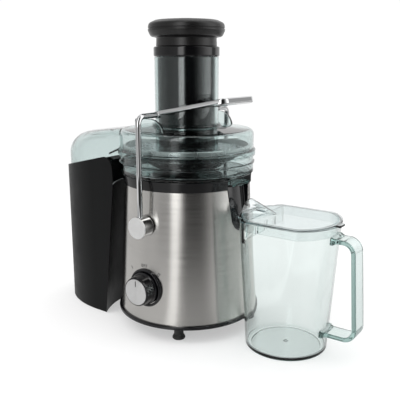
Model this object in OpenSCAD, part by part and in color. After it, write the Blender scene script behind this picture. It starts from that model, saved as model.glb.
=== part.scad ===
// Centrifugal juicer: motor base, bowl, spinning filter basket, lid with feed chute and pulp hood,
// locking bail, pulp container and juice jug. Millimetres, +Z up, table at z = 0.
// The knob faces -Y, the pulp container stands at -X and the jug at +X.

/* [Base] */
// Width of the black rim beyond the steel shell
rim_lip = 3; // [2:0.5:10]
// Height of the underside of the base above the table
base_clear = 18.5; // [16:0.5:26]
// Height of the black rim band
rim_band_h = 4.5; // [4:0.5:8]
// Step in from the bowl's outside to the steel shell's upper edge
shell_step = 4.1; // [3:0.1:4.5]
// Growth of the shell's radius from its upper edge to its lower edge
shell_flare = 8.1; // [7:0.1:9]
// Height of the steel shell
shell_h = 170; // [168:1:185]
// Thickness of the steel sheet
shell_t = 0.9; // [0.6:0.1:1.2]
// Distance from the shell's lower edge in to the middle of a foot
foot_inset = 16.4; // [15:0.2:18]
// Angle of the first foot, measured from +X
foot_angle = 27.6; // [26:0.2:32]
// Largest radius of a rubber foot
foot_r = 8.4; // [7:0.2:9]

/* [Motor deck] */
// Height of the black collar between the shell and the bowl
collar_h = 13; // [12:0.5:16]
// Step in from the bowl's outside to the collar's top
collar_step = 2; // [1.5:0.1:2.8]
// Thickness of the deck plate
deck_t = 3; // [2.5:0.5:3.5]
// Radius of the legs that carry the deck
leg_r = 5; // [4:0.25:5.5]

/* [Spout recess] */
// Half width of the recess at its top
recess_half_w = 25.5; // [22:0.5:27]
// Radius of the rounded lower tip
recess_tip_r = 19.5; // [17:0.5:20]
// Height of the recess from its tip to its top
recess_h = 59.5; // [55:0.5:62]
// Depth of the recess at its top
recess_depth = 7.5; // [6:0.5:8]
// Wall thickness of the recess moulding
recess_wall = 1.6; // [1.2:0.1:2]

/* [Bowl] */
// Outer radius of the clear bowl
bowl_r = 88; // [87.5:0.25:89]
// Height of the bowl from its floor to its rim
bowl_h = 26; // [25:0.5:30]
// Wall thickness of the bowl
bowl_wall = 2.2; // [1.8:0.1:2.6]
// Height of the flange above the bowl's floor
bowl_flange_z = 14; // [12:0.5:15]
// Width of the bowl's flange
bowl_flange_w = 1.6; // [1.2:0.1:2.2]
// Depth of the juice trough below the bowl's floor
trough_depth = 8.6; // [7:0.2:9.5]
// Half width of the juice trough
trough_half_w = 24.8; // [21:0.2:25]

/* [Lid and hood] */
// Height of the lid from its seat to the edge of its crown
lid_h = 31; // [30:0.5:36]
// Wall thickness of the lid
lid_wall = 2.4; // [2:0.1:2.8]
// Width of the lid's lower band beyond the bowl
lid_band_w = 2.4; // [2:0.1:3.5]
// Radius of the rounding at the lid's shoulder
lid_shoulder_r = 7; // [5:0.5:9]
// Rise of the crown from the shoulder to the chute
lid_crown = 3; // [2:0.5:5]
// Distance from the bowl's outside in to the middle of an ear
ear_inset = 12; // [11.5:0.5:14]
// Thickness of an ear
ear_t = 4; // [3:0.5:5]
// Height of an ear above the lid's shoulder
ear_h = 17.7; // [16.9:0.1:19]
// Distance from the axis to the ear's front toe
ear_toe = 22; // [16:0.5:22]
// Distance from the axis to the ear's square back edge
ear_back = 22; // [18:0.5:26]
// Half width of the pulp hood where it leaves the lid
hood_half_w = 61.5; // [60:0.5:63]
// Wall thickness of the hood
hood_wall = 2.4; // [2:0.1:2.8]
// Height of the hood's top above the lid's seat, at the lid
hood_rise = 33; // [31:0.5:33.5]
// Height that the hood's top falls from the lid to its nose
hood_fall = 13; // [10:0.5:16]
// Depth that the hood tucks below the container's rim
hood_tuck = 6; // [4:0.5:8]

/* [Feed chute and pusher] */
// Outer radius of the feed chute
chute_r = 41.4; // [40.5:0.1:42]
// Wall thickness of the feed chute
chute_wall = 2.6; // [2.2:0.1:3]
// Height of the chute above the lid's seat
chute_h = 122.5; // [115:0.5:135]
// Depth that the chute hangs below the lid's seat
chute_skirt = 10; // [8:0.5:11]
// Gap between the pusher and the chute
pusher_gap = 1.3; // [0.8:0.1:2]
// Height of the ring that stops the pusher
pusher_ring_h = 12.2; // [10:0.2:14]
// Width that the pusher's ring stands beyond the chute
pusher_ring_w = 0.9; // [0.4:0.1:2.6]
// Height of the neck under the pusher's cap
pusher_neck_h = 11.6; // [9:0.2:14]
// Step in from the chute's outside to the neck under the pusher's cap
pusher_neck_step = 2.4; // [1.4:0.1:5]
// Height of the pusher's cap
cap_h = 22.4; // [18:0.2:26]
// Width that the pusher's cap stands beyond the chute
cap_w = 7.6; // [5.6:0.1:10]

/* [Pulp container] */
// Distance from the axis to the centre of the rounded nose
nose_x = 160; // [150:1:175]
// Radius of the rounded nose
nose_r = 48.2; // [46:0.2:52]
// Distance from the axis to the container's widest place
pulp_mid_x = 113; // [110:1:118]
// Half width of the container at its widest place
pulp_half_w = 62.5; // [61.5:0.5:65]
// Gap between the bowl's outside and the hollow inner wall at its top
hollow_gap = 8.5; // [7.5:0.5:10]
// Growth of the hollow wall's radius from its top to its foot
hollow_flare = 19.5; // [14:0.5:22]
// Height of the rim at the corner
pulp_rim_z = 225.5; // [222:0.5:227]
// Fall of the rim for each millimetre away from the base
pulp_rim_slope = 0.235; // [0.2:0.005:0.26]
// Wall thickness of the container
pulp_wall = 2.6; // [2:0.1:3.2]

/* [Jug] */
// Gap between the bowl's outside and the jug's rim
jug_gap = 4.7; // [4.7:0.5:25]
// Outer radius of the jug at its foot
jug_foot_r = 50.6; // [48:0.1:51]
// Outer radius of the jug at its rim
jug_rim_r = 61.8; // [60:0.1:62.5]
// Distance of the jug's flat sides from its middle plane
jug_flat_y = 51.4; // [51.2:0.1:54]
// Height of the jug
jug_h = 163.4; // [150:0.2:170]
// Wall thickness of the jug
jug_wall = 2.6; // [2.2:0.1:3.2]
// Height of the lower end of the two pouring corners
beak_z = 138; // [110:1:145]
// Width of the handle band
handle_w = 26; // [20:0.5:30]
// Thickness of the handle band
handle_t = 5.6; // [4.5:0.1:7]
// Distance from the jug's axis to the handle's outer face
handle_reach = 95; // [90:0.5:105]
// Height of the handle's upper arm
handle_top_z = 151; // [145:0.5:153]
// Height of the handle's lower arm
handle_low_z = 34; // [30:0.5:45]
// Distance from the jug's axis to the mouth of the arched dome on its lid
dome_reach = 56.5; // [54:0.5:57]
// Half width of the dome's mouth
dome_half_w = 20.5; // [16:0.5:21.5]
// Height of the dome's mouth above the lid
dome_h = 14.5; // [12:0.5:17]
// Length of the dome
dome_len = 42; // [30:0.5:46]

/* [Bail and knob] */
// Height of the bail's pivot axis
bail_z = 149.5; // [145:0.5:153]
// Distance from the bowl's outside to the middle of the bail's rod
bail_gap = 9; // [8:0.5:11]
// Radius of the bail's rod
rod_r = 3.5; // [3:0.1:3.9]
// Radius of the bail's pivot hubs
hub_r = 13.5; // [11:0.5:15]
// Length of a pivot hub
hub_len = 17.5; // [16:0.5:19]
// Distance from the chute's outside to the far edge of the crossbar
crossbar_front = 42.6; // [37:0.5:48]
// Thickness of the crossbar
crossbar_t = 5.2; // [4:0.2:6]
// Tilt of the crossbar in degrees
crossbar_tilt = 12.5; // [10:0.5:14]
// Depth of the lip below the crossbar's front edge
crossbar_lip = 3.6; // [2:0.2:5]
// Height of the middle of the crossbar's plate over the middle of the rods.
crossbar_raise = 1.3; // [1:0.1:2]
// Height of the knob's axis
knob_z = 68; // [64:0.5:72]
// Radius of the knob's bezel
bezel_r = 25; // [24:0.5:27]
// Radius of the knob's face
knob_face_r = 16.7; // [15:0.1:17.2]
// Distance of the knob's face from the shell
knob_proud = 19.6; // [17.5:0.1:22]

/* [Drive] */
// Radius of the motor shaft
shaft_r = 4; // [3.5:0.1:4.2]
// Radius of the armature core
armature_r = 24; // [22:0.5:25]
// Air gap between the armature and the stator
air_gap = 0.6; // [0.4:0.1:0.8]
// Height of the laminated stack
stack_h = 46; // [40:1:50]
// Radius of the cooling fan
fan_r = 34; // [30:0.5:36]
// Distance from the bowl's outside in to the filter basket's rim
basket_gap = 4.2; // [3.8:0.1:5.5]
// Number of rows of cutting teeth on the grater disc
tooth_rows = 3; // [2:1:4]

/* [Hidden] */
$fn = 96;

// Small play between pieces that are put together, and the running clearance of turning pieces.
play = 0.05;
slip = 0.3;

shell_top_r = bowl_r - shell_step;
shell_bottom_r = shell_top_r + shell_flare;
rim_r = shell_bottom_r + rim_lip;
foot_circle_r = shell_bottom_r - foot_inset;
collar_top_r = bowl_r - collar_step;
bowl_flange_r = bowl_r + bowl_flange_w;
lid_band_r = bowl_r + lid_band_w;
basket_r = bowl_r - basket_gap;
ear_y = bowl_r - ear_inset;
bail_arm_y = bowl_r + bail_gap;
hollow_top_r = bowl_r + hollow_gap;
hollow_foot_r = hollow_top_r + hollow_flare;
corner_x = hollow_top_r - 26.5;
jug_x = bowl_r + jug_gap + jug_rim_r;
crossbar_reach = chute_r + crossbar_front;
pusher_ring_r = chute_r + pusher_ring_w;
pusher_neck_r = chute_r - pusher_neck_step;
cap_r = chute_r + cap_w;

shell_z = base_clear + rim_band_h;
shell_top_z = shell_z + shell_h;
bowl_z = shell_top_z + collar_h;
seat_z = bowl_z + bowl_h;
shoulder_z = seat_z + lid_h;
chute_top_z = seat_z + chute_h;
chute_low_z = seat_z - chute_skirt;
ring_z = chute_top_z + slip;
neck_z = ring_z + pusher_ring_h;
cap_z = neck_z + pusher_neck_h;
jug_far_x = jug_x + handle_reach;
pulp_far_x = nose_x + nose_r;
// The origin is under the middle of the whole set, so the juicer's own axis stands off it.
axis_x = (pulp_far_x - jug_far_x) / 2;

floor_t = 3;
floor_top_z = base_clear + floor_t;
leg_screw_r = 1.5;
foot_taper_z = 6;
screw_head_r = 3.2;
screw_head_h = 2.2;
foot_recess_z = 4;
screw_len = 36;

pivot_hole_r = 7;
tab_y = shell_top_r - 13.9;
tab_t = 6;
tab_reach = 31;
pin_r = 5;
pin_clear = 0.06;
hub_face_y = bail_arm_y + 8;
hub_y = hub_face_y - hub_len;
hub_cap_t = 1.6;
cam_low_r = 8;
cam_fall = 2.4;
cam_sweep = 50;
cam_t = 5;
plunger_gap = 0.4;
plunger_x = cam_low_r + cam_fall + plunger_gap;
rod_bend_r = 9;
rod_z = shoulder_z + ear_h + 0.4 + rod_r;
rod_end_y = ear_y - 17;
crossbar_end_y = ear_y - 12;

gland_z = 44;
gland_r = 8;
gland_bore_r = 3.7;
gland_len = 22;

motor_mid_z = 103;
stack_low_z = motor_mid_z - stack_h / 2;
stack_top_z = motor_mid_z + stack_h / 2;
stator_r = armature_r + 23;
stator_half_w = armature_r + 19;
stator_bore_r = armature_r + air_gap;
bolt_y = armature_r + 16;
coil_x = armature_r + 3;
coil_y = armature_r - 3;
coil_w = 10;
bolt_r = 2;
winding_h = 9;
lower_bracket_z = 34;
bearing_r = 11;
bearing_h = 7;
commutator_z = 52;
commutator_h = 15;
commutator_r = 12;
brush_z = commutator_z + commutator_h / 2;
fan_z = stack_top_z + winding_h + 5;
fan_h = 11;
upper_bracket_z = fan_z + fan_h + 4;
mount_circle_r = shell_top_r - 21.9;
mount_screw_len = 22;
mount_h = 6;
coupling_r = 11;
coupling_z = bowl_z - 2;
coupling_h = 8;
seal_r = 12;
seal_h = 4;
basket_z = bowl_z + 6;
basket_foot_r = chute_r + 4.1;
rim_ring_h = 9;
rim_ring_z = seat_z + 2;
screen_t = 0.8;

knob_face_y = shell_r(knob_z) + knob_proud;

// Outer radius of the steel shell at height z.
function shell_r(z) = shell_bottom_r + (shell_top_r - shell_bottom_r) * (z - shell_z) / shell_h;

// Points of an arc about [cx, cy] from angle a0 to a1 in n steps.
function arc(cx, cy, r, a0, a1, n = 6) =
  [for (i = [0:n]) [cx + r * cos(a0 + (a1 - a0) * i / n), cy + r * sin(a0 + (a1 - a0) * i / n)]];

// Point where a line from p touches the circle about c on its anticlockwise side.
function touch_point(p, c, r) =
  let (v = p - c, a = atan2(v[1], v[0]) + acos(r / norm(v)))
  [c[0] + r * cos(a), c[1] + r * sin(a)];

// Mirror image of a point across the first axis.
function flip(p) = [p[0], -p[1]];

// Points of the container's oval plan, from its widest place round the nose, drawn in by the inset.
function oval_side(inset, n) = [
  for (i = [0:n])
    let(a = 90 + 180 * i / n)
      [(pulp_far_x - pulp_mid_x - inset) * cos(a) - pulp_mid_x, (pulp_half_w - inset) * sin(a)]
];

// Everything stands about the juicer's axis, which is moved off the origin as one.
module about_axis() {
  translate([axis_x, 0, 0])
    children();
}

module ring(r_out, r_in, h) {
  difference() {
    cylinder(r = r_out, h = h);
    translate([0, 0, -1])
      cylinder(r = r_in, h = h + 2);
  }
}

// A round bar along Y from y0 to y1 at height z.
module bar_y(r, y0, y1, z) {
  translate([0, y0, z])
    rotate([-90, 0, 0])
      cylinder(r = r, h = y1 - y0);
}

module each_foot() {
  for (k = [0:3])
    rotate([0, 0, foot_angle + 90 * k])
      translate([foot_circle_r, 0, 0])
        children();
}

module each_mount() {
  for (k = [0:3])
    rotate([0, 0, 45 + 90 * k])
      translate([mount_circle_r, 0, 0])
        children();
}

module both_sides() {
  children();
  mirror([0, 1, 0])
    children();
}

// ---- Base ----

module rubber_feet() {
  color("#151515")
    about_axis()
      each_foot()
        rotate_extrude()
          polygon([
            [leg_screw_r + play, foot_recess_z],
            [screw_head_r + slip, foot_recess_z],
            [screw_head_r + slip, 0],
            [foot_r - 0.6, 0],
            [foot_r, 1],
            [foot_r - 0.4, 3],
            [foot_r - 2.2, foot_taper_z],
            [foot_r - 2.4, base_clear],
            [leg_screw_r + play, base_clear]
          ]);
}

module foot_screws() {
  color("#b8bbbe")
    about_axis()
      each_foot()
        translate([0, 0, foot_recess_z - screw_head_h])
          difference() {
            union() {
              cylinder(r = screw_head_r, h = screw_head_h);
              cylinder(r = leg_screw_r, h = screw_len);
            }
            translate([-screw_head_r, -0.5, -1])
              cube([2 * screw_head_r, 1, 2]);
          }
}

module base_plate() {
  lip_r = shell_r(shell_z + 7) - shell_t - slip;
  color("#121214")
    about_axis()
      difference() {
        rotate_extrude()
          polygon(concat(
            [[0, base_clear], [rim_r - 1.2, base_clear]],
            arc(rim_r - 1.2, base_clear + 1.2, 1.2, -90, 0, 4),
            arc(rim_r - 1.2, shell_z - 1.2, 1.2, 0, 90, 4),
            [[lip_r, shell_z], [lip_r, shell_z + 7], [lip_r - 2, shell_z + 7]],
            [[lip_r - 2, floor_top_z], [0, floor_top_z]]
          ));
        each_foot()
          translate([0, 0, base_clear - 1])
            cylinder(r = leg_screw_r + slip, h = floor_t + 2);
        for (row = [0:2])
          for (k = [-2:2])
            translate([k * 11 - 3, -34 + row * 25, base_clear - 1])
              cube([6, 18, floor_t + 2]);
      }
}

// Outline of the recess, drawn with its height along the first axis.
module tongue(inset = 0) {
  tip_h = shell_top_z + 4 - recess_h + recess_tip_r;
  top = [shell_top_z + 4 + inset, recess_half_w - inset];
  r = recess_tip_r - inset;
  t = touch_point(top, [tip_h, 0], r);
  a = atan2(t[1], t[0] - tip_h);
  polygon(concat([flip(top), top], arc(tip_h, 0, r, a, 360 - a, 28)));
}

// The tongue outline run through the shell along +X.
module tongue_prism(inset = 0) {
  translate([shell_top_r - 24, 0, 0])
    rotate([0, -90, 0])
      mirror([0, 0, 1])
        linear_extrude(height = 40)
          tongue(inset);
}

module steel_shell() {
  color("#b9b8b5")
    about_axis()
      difference() {
        rotate_extrude()
          polygon([
            [shell_bottom_r, shell_z],
            [shell_top_r, shell_top_z],
            [shell_top_r - shell_t, shell_top_z],
            [shell_bottom_r - shell_t, shell_z]
          ]);
        bar_y(5, -rim_r, -60, knob_z);
        bar_y(pivot_hole_r, -rim_r, rim_r, bail_z);
        bar_y(gland_r + play, 60, rim_r + 1, gland_z);
        tongue_prism(-play);
      }
}

module spout_recess() {
  low_z = shell_top_z + 4 - recess_h - 1;
  top_z = shell_top_z + 4;
  back = shell_r(low_z) - recess_wall - 0.6;
  top_back = shell_r(top_z) - recess_depth;
  color("#17171a")
    about_axis()
      difference() {
        intersection() {
          tongue_prism(0);
          rotate_extrude()
            polygon([
              [back - recess_wall, low_z],
              [shell_r(low_z) + 0.15, low_z],
              [shell_r(top_z) + 0.15, top_z],
              [top_back - recess_wall, top_z]
            ]);
        }
        intersection() {
          tongue_prism(recess_wall);
          rotate_extrude()
            polygon([
              [back, low_z],
              [rim_r + 5, low_z],
              [rim_r + 5, top_z + 1],
              [top_back, top_z + 1]
            ]);
        }
      }
}

module cord_gland() {
  wall_y = shell_r(gland_z) - 1.4;
  color("#141414")
    about_axis()
      translate([0, wall_y - gland_len + 10, gland_z])
        rotate([-90, 0, 0])
          rotate_extrude()
            polygon([
              [gland_bore_r, 0],
              [gland_r, 0],
              [gland_r, gland_len - 8.2],
              [gland_r + 3, gland_len - 8.2],
              [gland_r + 3, gland_len - 5.5],
              [gland_r - 1, gland_len - 1],
              [gland_r - 2, gland_len],
              [gland_bore_r, gland_len]
            ]);
}

module cord_clamp() {
  y0 = 56;
  color("#d8d5cc")
    about_axis()
      difference() {
        translate([-14, y0, floor_top_z])
          cube([28, 8, gland_z - floor_top_z + 8]);
        bar_y(gland_bore_r + 0.6, y0 - 1, y0 + 9, gland_z);
      }
}

module terminal_block() {
  color("#e4e0d4")
    about_axis()
      difference() {
        translate([-52, 22, floor_top_z])
          cube([14, 34, 13]);
        for (k = [0:2])
          translate([-45, 28 + 11 * k, floor_top_z + 4])
            cylinder(r = 2.2, h = 12);
      }
}

module suppressor() {
  color("#caa43a")
    about_axis()
      translate([34, 22, floor_top_z])
        cube([13, 26, 17]);
}

// ---- Motor deck ----

module motor_deck() {
  plug_r = shell_top_r - shell_t - slip;
  boss_r = seal_r + 4;
  boss_z = bowl_z - 5;
  color("#101012")
    about_axis()
      difference() {
        union() {
          rotate_extrude()
            polygon(concat(
              [[seal_r - 4, shell_top_z], [plug_r - 2.2, shell_top_z], [plug_r - 2.2, shell_top_z - 6]],
              [[plug_r, shell_top_z - 6], [plug_r, shell_top_z], [shell_top_r + 0.4, shell_top_z]],
              arc(collar_top_r - 1, bowl_z - 1, 1, 0, 90, 4),
              [[collar_top_r - 4, bowl_z], [collar_top_r - 5.4, shell_top_z + deck_t]],
              [[boss_r, shell_top_z + deck_t], [boss_r, boss_z], [seal_r + play, boss_z]],
              [[seal_r + play, boss_z - seal_h], [seal_r - 4, boss_z - seal_h]]
            ));
          each_foot()
            translate([0, 0, floor_top_z + play])
              cylinder(r = leg_r, h = shell_top_z - floor_top_z);
          each_mount()
            translate([0, 0, upper_bracket_z + mount_h + play])
              cylinder(r = 5, h = shell_top_z - upper_bracket_z - mount_h);
          both_sides()
            translate([-tab_reach, -tab_y - tab_t, bail_z - 14])
              cube([tab_reach + 13, tab_t, shell_top_z - bail_z + 15]);
        }
        each_foot()
          translate([0, 0, floor_top_z - 1])
            cylinder(r = leg_screw_r + play, h = screw_len - base_clear + 8);
        each_mount()
          translate([0, 0, upper_bracket_z])
            cylinder(r = leg_screw_r + play, h = 20);
        bar_y(pin_r + pin_clear, -rim_r, rim_r, bail_z);
        translate([bowl_r - 18.5, -recess_half_w - play, shell_top_z + deck_t - 0.2])
          cube([30, 2 * recess_half_w + 2 * play, bowl_z - shell_top_z]);
        intersection() {
          tongue_prism(-play);
          translate([0, 0, shell_top_z - 9])
            ring(rim_r + 5, shell_r(shell_top_z + 4) - recess_depth - recess_wall - play, 12.5);
        }
      }
}

module shaft_seal() {
  color("#2a2a2a")
    about_axis()
      translate([0, 0, bowl_z - 5 - seal_h + play])
        ring(seal_r, shaft_r + play, seal_h - play);
}

// ---- Bowl, lid and chute ----

module bowl() {
  in_r = bowl_r - bowl_wall;
  dam_r = 24;
  floor_z = bowl_z + 2.6;
  pocket_x = bowl_r - 16;
  color("#a9c4bd", 0.5)
    about_axis()
      difference() {
        union() {
          rotate_extrude()
            polygon(concat(
              [[dam_r, bowl_z], [bowl_r - 3, bowl_z]],
              arc(bowl_r - 2.5, bowl_z + 2.5, 2.5, -90, 0, 5),
              [[bowl_r, bowl_z + bowl_flange_z], [bowl_flange_r, bowl_z + bowl_flange_z]],
              [[bowl_flange_r, bowl_z + bowl_flange_z + 2], [bowl_r, bowl_z + bowl_flange_z + 2]],
              [[bowl_r, seat_z], [in_r, seat_z], [in_r, floor_z + 3], [in_r - 3, floor_z]],
              [[dam_r + 2.2, floor_z], [dam_r + 2.2, basket_z - 0.8], [dam_r, basket_z - 0.8]]
            ));
          intersection() {
            translate([0, 0, bowl_z - trough_depth])
              cylinder(r = bowl_r, h = trough_depth + 2);
            translate([pocket_x - 2, -trough_half_w, bowl_z - trough_depth - 1])
              cube([20, 2 * trough_half_w, trough_depth + 4]);
          }
        }
        intersection() {
          translate([0, 0, bowl_z - trough_depth + bowl_wall])
            cylinder(r = in_r, h = trough_depth + 1);
          translate([pocket_x, -trough_half_w + bowl_wall, 0])
            cube([20, 2 * trough_half_w - 2 * bowl_wall, bowl_z + 2.61]);
        }
        translate([bowl_r - 9.5, -10, bowl_z - trough_depth - 1])
          cube([6, 20, bowl_wall + 2]);
      }
}

// Closed form of the hood, drawn in by the given amount on every side.
module hood_form(inset = 0) {
  top_z = seat_z + hood_rise;
  nose_round = 30;
  edge_round = 11;
  nose_top_z = top_z - hood_fall;
  side = nose_r - 4;
  hull() {
    translate([0, 0, pulp_rim_z - 50])
      linear_extrude(height = 34)
        polygon(concat(
          [[-40, hood_half_w - inset]],
          oval_side(4 + inset, 36),
          [[-40, inset - hood_half_w]]
        ));
    for (a = [90:30:270])
      translate([-nose_x + (side - nose_round) * cos(a), (side - nose_round) * sin(a), nose_top_z - nose_round])
        sphere(r = nose_round - inset, $fn = 32);
    both_sides()
      translate([-50, hood_half_w - edge_round, top_z - edge_round])
        sphere(r = edge_round - inset, $fn = 32);
  }
}

// Wedge of space above the sloping rim plane, moved down by drop.
module above_rim(drop) {
  a = atan(pulp_rim_slope);
  translate([-corner_x - 18, 0, pulp_rim_z - drop])
    rotate([0, -a, 0])
      translate([-250, -120, 0])
        cube([500, 240, 200]);
}

// Locking ear in the XZ plane, with a square back and a rounded front.
module ear() {
  round_x = ear_toe - 2;
  translate([0, -ear_y + ear_t / 2, 0])
    rotate([90, 0, 0])
      linear_extrude(height = ear_t)
        polygon(concat(
          [[-ear_back, shoulder_z - 3], [-ear_back, shoulder_z + ear_h - 2]],
          [[-ear_back + 2, shoulder_z + ear_h]],
          [for (i = [0:8]) [2 + round_x * sin(i * 11.25), shoulder_z - 2 + (ear_h + 2) * cos(i * 11.25)]],
          [[ear_toe, shoulder_z - 3]]
        ));
}

module lid() {
  in_r = bowl_r - lid_wall;
  sh = lid_shoulder_r;
  window_z = seat_z + 8;
  ramp_z = window_z - 1;
  color("#b4ccc6", 0.5)
    about_axis()
      difference() {
        union() {
          rotate_extrude()
            polygon(concat(
              [[bowl_r + 0.2, seat_z - 2], [lid_band_r - 0.6, seat_z - 2], [lid_band_r, seat_z - 1.4]],
              [[lid_band_r, seat_z + 5], [bowl_r, seat_z + 6.6]],
              arc(bowl_r - sh, shoulder_z - sh, sh, 0, 80, 6),
              [[chute_r + 9, shoulder_z + lid_crown], [chute_r + 3, shoulder_z + lid_crown + 0.6]],
              [[chute_r + 2.6, shoulder_z + lid_crown + 4], [chute_r + play, shoulder_z + lid_crown + 4]],
              [[chute_r + play, shoulder_z + lid_crown - lid_wall]],
              arc(bowl_r - sh, shoulder_z - sh, sh - lid_wall, 80, 0, 6),
              [[in_r, seat_z + play], [bowl_r + 0.2, seat_z + play]]
            ));
          both_sides()
            ear();
          difference() {
            hood_form(0);
            hood_form(hood_wall);
            cylinder(r = bowl_r - sh - 4, h = shoulder_z + 40);
          }
          intersection() {
            hood_form(hood_wall - 0.1);
            rotate_extrude()
              polygon([
                [in_r + 0.5, ramp_z],
                [in_r + 0.5, ramp_z - hood_wall],
                [hollow_top_r + 7, ramp_z - 9 - hood_wall],
                [hollow_top_r + 7, ramp_z - 9]
              ]);
          }
        }
        // Room of the bowl and of the lid's own inside.
        cylinder(r = bowl_r + 0.19, h = seat_z - 1.9);
        translate([0, 0, seat_z - 3])
          cylinder(r = bowl_r + 0.2, h = 3 + play);
        translate([0, 0, seat_z])
          cylinder(r = in_r - 0.01, h = lid_h - sh);
        intersection() {
          hood_form(hood_wall);
          translate([-bowl_r - 10, -hood_half_w + 5, window_z])
            cube([60, 2 * hood_half_w - 10, shoulder_z - sh - window_z + 1]);
        }
        difference() {
          translate([-300, -150, 0])
            cube([600, 300, seat_z - 2]);
          above_rim(hood_tuck);
        }
      }
}

module feed_chute() {
  in_r = chute_r - chute_wall;
  color("#b4ccc6", 0.5)
    about_axis()
      rotate_extrude()
        polygon(concat(
          [[in_r, chute_low_z], [chute_r, chute_low_z]],
          arc(chute_r - 1, chute_top_z - 1, 1, 0, 90, 4),
          arc(in_r + 1, chute_top_z - 1, 1, 90, 180, 4)
        ));
}

module pusher_body() {
  out_r = chute_r - chute_wall - pusher_gap;
  low_z = chute_low_z + 1;
  color("#101114")
    about_axis()
      rotate_extrude()
        polygon(concat(
          [[0, low_z], [out_r - 2, low_z], [out_r, low_z + 2], [out_r, ring_z], [pusher_ring_r - 1, ring_z]],
          arc(pusher_ring_r - 1.2, ring_z + 1.2, 1.2, -60, 0, 3),
          arc(pusher_ring_r - 1.6, neck_z - 1.6, 1.6, 0, 90, 4),
          [[out_r - 2.4, neck_z], [out_r - 2.4, low_z + 3], [0, low_z + 3]]
        ));
}

module pusher_cap() {
  plug_r = chute_r - chute_wall - pusher_gap - 2.4 - slip;
  mid_z = cap_z + cap_h * 0.44;
  color("#1a1b1d")
    about_axis()
      rotate_extrude()
        polygon(concat(
          [[0, neck_z - 8], [plug_r, neck_z - 8], [plug_r, neck_z + play], [pusher_neck_r, neck_z + play]],
          [[pusher_neck_r - 0.6, cap_z - 1.5], [pusher_neck_r + 2, cap_z]],
          arc(cap_r - 7, cap_z + 7, 7, -75, -5, 6),
          [[cap_r, mid_z], [cap_r - 0.5, mid_z + 0.4], [cap_r - 0.5, mid_z + 1.2], [cap_r - 0.1, mid_z + 1.6]],
          arc(cap_r - 9, cap_z + cap_h - 10.5, 8.9, 8, 78, 7),
          [for (i = [0:6]) [(cap_r - 9) * (6 - i) / 7, cap_z + cap_h - 1.6 * pow((6 - i) / 7, 2)]],
          [[0, cap_z + cap_h]]
        ));
}

// ---- Pulp container ----

module pulp_outline(inset = 0) {
  polygon(concat(
    oval_side(inset, 72),
    [[-hollow_top_r * 0.6, -pulp_half_w + inset - 1.5], [-hollow_top_r * 0.6, pulp_half_w - inset + 1.5]]
  ));
}

// Space above the sloping rim, which rounds down to each corner.
module rim_room() {
  r = 15;
  a = atan(pulp_rim_slope);
  u = -7;
  side = arc(u + r * sin(a), u * pulp_rim_slope - r * cos(a), r, 90 + a, 12, 12);
  translate([-corner_x - 18, 120, pulp_rim_z])
    rotate([90, 0, 0])
      linear_extrude(height = 240)
        polygon(concat(
          [[-200, -200 * pulp_rim_slope]],
          side,
          [[side[12][0] + 3, -60], [120, -60], [120, 90], [-200, 90]]
        ));
}

// Cone of room that the base and the bowl stand in, grown by add.
module hollow_cone(add, top = pulp_rim_z + 30) {
  slope = (hollow_foot_r - hollow_top_r) / pulp_rim_z;
  translate([0, 0, -10])
    cylinder(r1 = hollow_foot_r + 10 * slope + add, r2 = hollow_foot_r - top * slope + add, h = top + 10);
}

module pulp_container() {
  floor_z = 3;
  inner_top_z = pulp_rim_z - pulp_rim_slope * (nose_x + nose_r - corner_x - 18) - hood_tuck - 4;
  color("#1b1c1d")
    about_axis()
      difference() {
        linear_extrude(height = pulp_rim_z + 1)
          pulp_outline(0);
        hollow_cone(0);
        difference() {
          translate([0, 0, floor_z])
            linear_extrude(height = pulp_rim_z + 10)
              pulp_outline(pulp_wall);
          hollow_cone(pulp_wall, inner_top_z);
        }
        rim_room();
      }
}

// ---- Motor ----

module stator_core() {
  color("#6f7072")
    about_axis()
      difference() {
        translate([0, 0, stack_low_z])
          intersection() {
            cylinder(r = stator_r, h = stack_h);
            translate([-stator_half_w, -stator_half_w, 0])
              cube([2 * stator_half_w, 2 * stator_half_w, stack_h]);
          }
        translate([0, 0, stack_low_z - 1])
          cylinder(r = stator_bore_r, h = stack_h + 2);
        for (y = [-bolt_y, bolt_y])
          translate([0, y, stack_low_z - 1])
            cylinder(r = bolt_r + slip, h = stack_h + 2);
        for (sx = [-1, 1])
          for (sy = [-1, 1])
            translate([sx * coil_x - 4, sy * coil_y - coil_w / 2 - 1, stack_low_z - 1])
              cube([8, coil_w + 2, stack_h + 2]);
      }
}

// One field coil: two legs in the slots and an end turn above and below the stack.
module field_coil() {
  leg_h = stack_h + 2 * winding_h - 2;
  for (sx = [-1, 1])
    translate([sx * coil_x - 3, coil_y - coil_w / 2, stack_low_z - winding_h + 1])
      cube([6, coil_w, leg_h]);
  for (z = [stack_low_z - winding_h + 1, stack_top_z + 1])
    translate([-coil_x - 3, coil_y + coil_w / 2, z])
      cube([2 * coil_x + 6, coil_w - 1, winding_h - 2]);
}

module field_windings() {
  color("#a8552a")
    about_axis()
      both_sides()
        field_coil();
}

module bearing(z) {
  groove = bearing_h / 2;
  translate([0, 0, z])
    difference() {
      cylinder(r = bearing_r, h = bearing_h);
      translate([0, 0, -1])
        cylinder(r = shaft_r + play, h = bearing_h + 2);
      for (end_z = [-groove, bearing_h - 0.6])
        translate([0, 0, end_z])
          ring(bearing_r - 1.8, shaft_r + 2.2, groove + 0.6);
    }
}

module lower_bearing() {
  color("#c9ccd0")
    about_axis()
      bearing(lower_bracket_z + 3);
}

module upper_bearing() {
  color("#c9ccd0")
    about_axis()
      bearing(upper_bracket_z + 1);
}

// Bearing seat with a floor that the shaft passes.
module bearing_seat(z, h) {
  translate([0, 0, z])
    cylinder(r = bearing_r + 3, h = h);
}

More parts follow.
